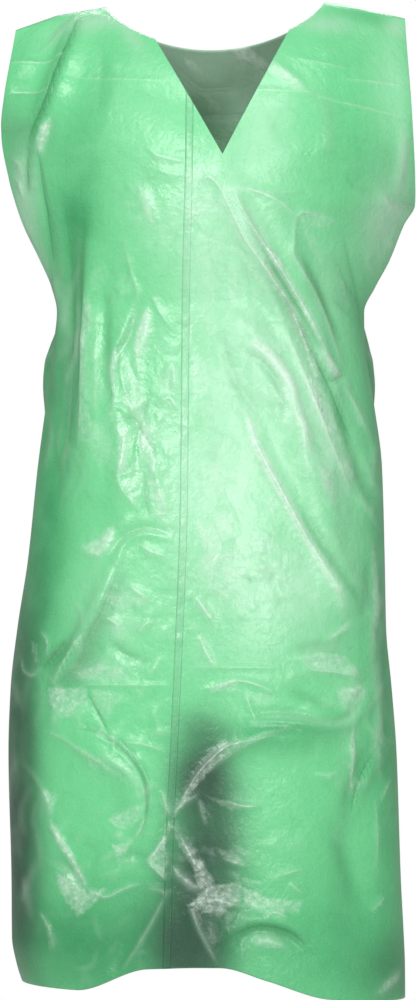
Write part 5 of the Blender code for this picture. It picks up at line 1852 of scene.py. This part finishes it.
@dataclass
class Apron:
    """The apron's four pieces of film, on the frame's solids."""

    front_rows: int = 436
    back_rows: int = 330
    left_steps: tuple[int, ...] = (34, 24, 30, 2)
    right_steps: tuple[int, ...] = (2, 18, 36, 20, 32)
    back_steps: tuple[int, ...] = (34, 41, 41, 34)
    lap_gap: float = 0.04
    lap_wall: float = 0.07
    sealed_edge: float = 0.2

    def front(self, landmarks: tuple[Landmark, ...], steps: tuple[int, ...]) -> Film:
        """A width of the front between two lines.

        Args:
            landmarks: the lines that its columns follow.
            steps: the columns between each two of them.

        Returns:
            The film.
        """
        return Film(
            Side.FRONT,
            landmarks,
            steps,
            self.front_rows,
            HEM_FRONT,
            *(FRONT_FOLDS, FRONT_CREASES, FRONT_CRUMPLES, FRONT_PATCHES, FRONT_PAINTED_HIGHLIGHTS),
            seed=7,
        )

    def lay_films(self) -> None:
        """Works out the three widths of film."""
        corner = FORM.corner_share
        left = (
            Landmark(-1),
            Landmark(corner(FORM.left_neck, Side.FRONT)),
            Landmark(corner(FORM.v_left, Side.FRONT)),
            Landmark(on_lap=-1),
            Landmark(on_lap=0),
        )
        right = (
            Landmark(on_lap=0),
            Landmark(on_lap=1),
            Landmark(0),
            Landmark(corner(FORM.v_right, Side.FRONT)),
            Landmark(corner(FORM.right_neck, Side.FRONT)),
            Landmark(1),
        )
        back = (
            Landmark(-1),
            Landmark(corner(FORM.left_neck, Side.BACK)),
            Landmark(corner((FORM.left_neck + FORM.right_neck) / 2, Side.BACK)),
            Landmark(corner(FORM.right_neck, Side.BACK)),
            Landmark(1),
        )
        self.left = self.front(left, self.left_steps)
        self.right = self.front(right, self.right_steps)
        self.back = Film(
            Side.BACK,
            back,
            self.back_steps,
            self.back_rows,
            HEM_BACK,
            *(BACK_FOLDS, BACK_CREASES, BACK_CRUMPLES, BACK_PATCHES, BACK_PAINTED_HIGHLIGHTS),
            seed=11,
        )

    def lap_shell(self) -> Shell:
        """The doubled strip over the joint, made from the films' own points moved out.

        Returns:
            The strip's shell.
        """
        left, right, wide = self.left, self.right, self.right_steps[0]
        start = -1 - self.left_steps[-1]

        def join(first: Array, second: Array) -> Array:
            """The two films' columns under the lap, side by side."""
            return np.concatenate((first[:, start:], second[:, 1 : wide + 1]), axis=1)

        out = join(left.out, right.out)
        sealed = np.ones(left.steps[-1] + wide + 1)[:, None]
        sealed[[0, -1]] = self.sealed_edge
        under = join(left.outer, right.outer) + out * self.lap_gap * sealed
        tones = {name: join(left.tones[name], right.tones[name]) for name in left.tones}
        places = join(left.girth(), right.girth()), join(left.z, right.z)
        return Shell("front_lap_strip", under + out * self.lap_wall * sealed, under, *places, tones, True)

    def build(self) -> dict[str, bpy.types.Object]:
        """Builds and dresses the pieces, and ties them to the frame.

        Returns:
            The pieces, by name.
        """
        self.lay_films()
        outside = FilmFinish("front film outside").material()
        # The front film's inside is a darker copy of the same film: painted shade.
        inside = FilmFinish("front film inside", plain=(0.12, 0.42, 0.21)).material()
        # The back film's inside is a paler copy of the same film with more shine: painted light and a painted
        # sheen where it shows through the V.
        lining = FilmFinish(
            "back film inside", plain=(0.40, 0.60, 0.44), doubled=(0.2, 0.32, 0.25), shine=0.75
        ).material()
        behind = FilmFinish("back film outside").material()
        strip = FilmFinish("lap film", plain=(0.16, 0.62, 0.28), edge_share=0.0).material()
        makers = (
            (self.left.shell("front_film_left"), "front_panel", "front_film", (outside, inside)),
            (self.right.shell("front_film_right"), "front_panel", "front_film", (outside, inside)),
            (self.back.shell("back_film"), "back_panel", "back_film", (behind, lining)),
            (self.lap_shell(), "front_lap", "lap_film", (strip, strip)),
        )
        pieces = {}
        for shell, node, slot, materials in makers:
            piece = shell.build()
            for material in materials:
                piece.data.materials.append(material)
            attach(piece, "root")
            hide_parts(node)
            pieces[piece.name] = piece
            logging.info("%s: %d triangles", piece.name, 2 * len(piece.data.polygons))
        return pieces


@dataclass(frozen=True)
class Softbox:
    """A square studio light that faces a point of the apron."""

    name: str
    place: tuple[float, float, float]
    width: float
    height: float
    power: float
    aim: tuple[float, float, float] = (0.0, 0.0, -0.45)

    def build(self) -> None:
        """Adds the light."""
        light = bpy.data.lights.new(self.name, "AREA")
        light.shape = "RECTANGLE"
        light.size, light.size_y = self.width, self.height
        light.energy = self.power
        lamp = bpy.data.objects.new(self.name, light)
        lamp.location = self.place
        lamp.rotation_euler = (Vector(self.aim) - Vector(self.place)).to_track_quat("-Z", "Y").to_euler()
        bpy.context.scene.collection.objects.link(lamp)


@dataclass(frozen=True)
class Studio:
    """The pale floor, the soft light and the camera."""

    camera_place: tuple[float, float, float] = (0.0, -4.5, -0.4617)
    lens: float = 170.5
    floor_height: float = -1.45
    floor_half: float = 3.0
    room_light: float = 0.3
    boxes: tuple[Softbox, ...] = (
        Softbox("key", (-1.3, -3.6, 0.9), 0.8, 1.1, 62),
        Softbox("fill", (1.4, -3.8, -0.1), 0.6, 1.2, 34),
        Softbox("top", (0.0, -1.2, 2.0), 1.2, 0.6, 22),
        Softbox("behind", (0.3, 2.6, 2.2), 1.6, 1.2, 44),
    )

    def build(self) -> None:
        """Sets the studio up."""
        for box in self.boxes:
            box.build()
        self.build_floor()
        self.build_room()
        self.build_camera()
        bpy.context.scene.view_settings.view_transform = "Standard"

    def build_floor(self) -> None:
        """A plain pale floor, well below the hem."""
        half = self.floor_half
        mesh = bpy.data.meshes.new("floor")
        corners = [(-half, -half), (half, -half), (half, half), (-half, half)]
        mesh.from_pydata([(x, y, self.floor_height) for x, y in corners], [], [(0, 1, 2, 3)])
        floor = bpy.data.objects.new("floor", mesh)
        bpy.context.scene.collection.objects.link(floor)
        board = Board("floor")
        board.set(board.shader, "Base Color", (0.82, 0.82, 0.81))
        board.set(board.shader, "Roughness", 0.8)
        mesh.materials.append(board.material)

    def build_room(self) -> None:
        """A white room that is dimmer as light than to the eye."""
        world = bpy.data.worlds.new("room")
        world.use_nodes = True
        bpy.context.scene.world = world
        tree = world.node_tree
        seen, lit = tree.nodes["Background"], tree.nodes.new("ShaderNodeBackground")
        lit.inputs["Color"].default_value = seen.inputs["Color"].default_value = (1, 1, 1, 1)
        lit.inputs["Strength"].default_value = self.room_light
        rays, either = tree.nodes.new("ShaderNodeLightPath"), tree.nodes.new("ShaderNodeMixShader")
        tree.links.new(rays.outputs["Is Camera Ray"], either.inputs["Fac"])
        tree.links.new(lit.outputs[0], either.inputs[1])
        tree.links.new(seen.outputs[0], either.inputs[2])
        tree.links.new(either.outputs[0], tree.nodes["World Output"].inputs["Surface"])

    def build_camera(self) -> None:
        """A level camera in front, at the middle of the apron's height."""
        camera = bpy.data.objects.new("camera", bpy.data.cameras.new("camera"))
        camera.data.lens = self.lens
        camera.location = self.camera_place
        camera.rotation_euler = (radians(90), 0, 0)
        bpy.context.scene.collection.objects.link(camera)
        bpy.context.scene.camera = camera


def main() -> None:
    """Builds the apron and its studio."""
    logging.basicConfig(level=logging.INFO, format="%(message)s")
    Apron().build()
    Studio().build()


if __name__ == "__main__":
    main()
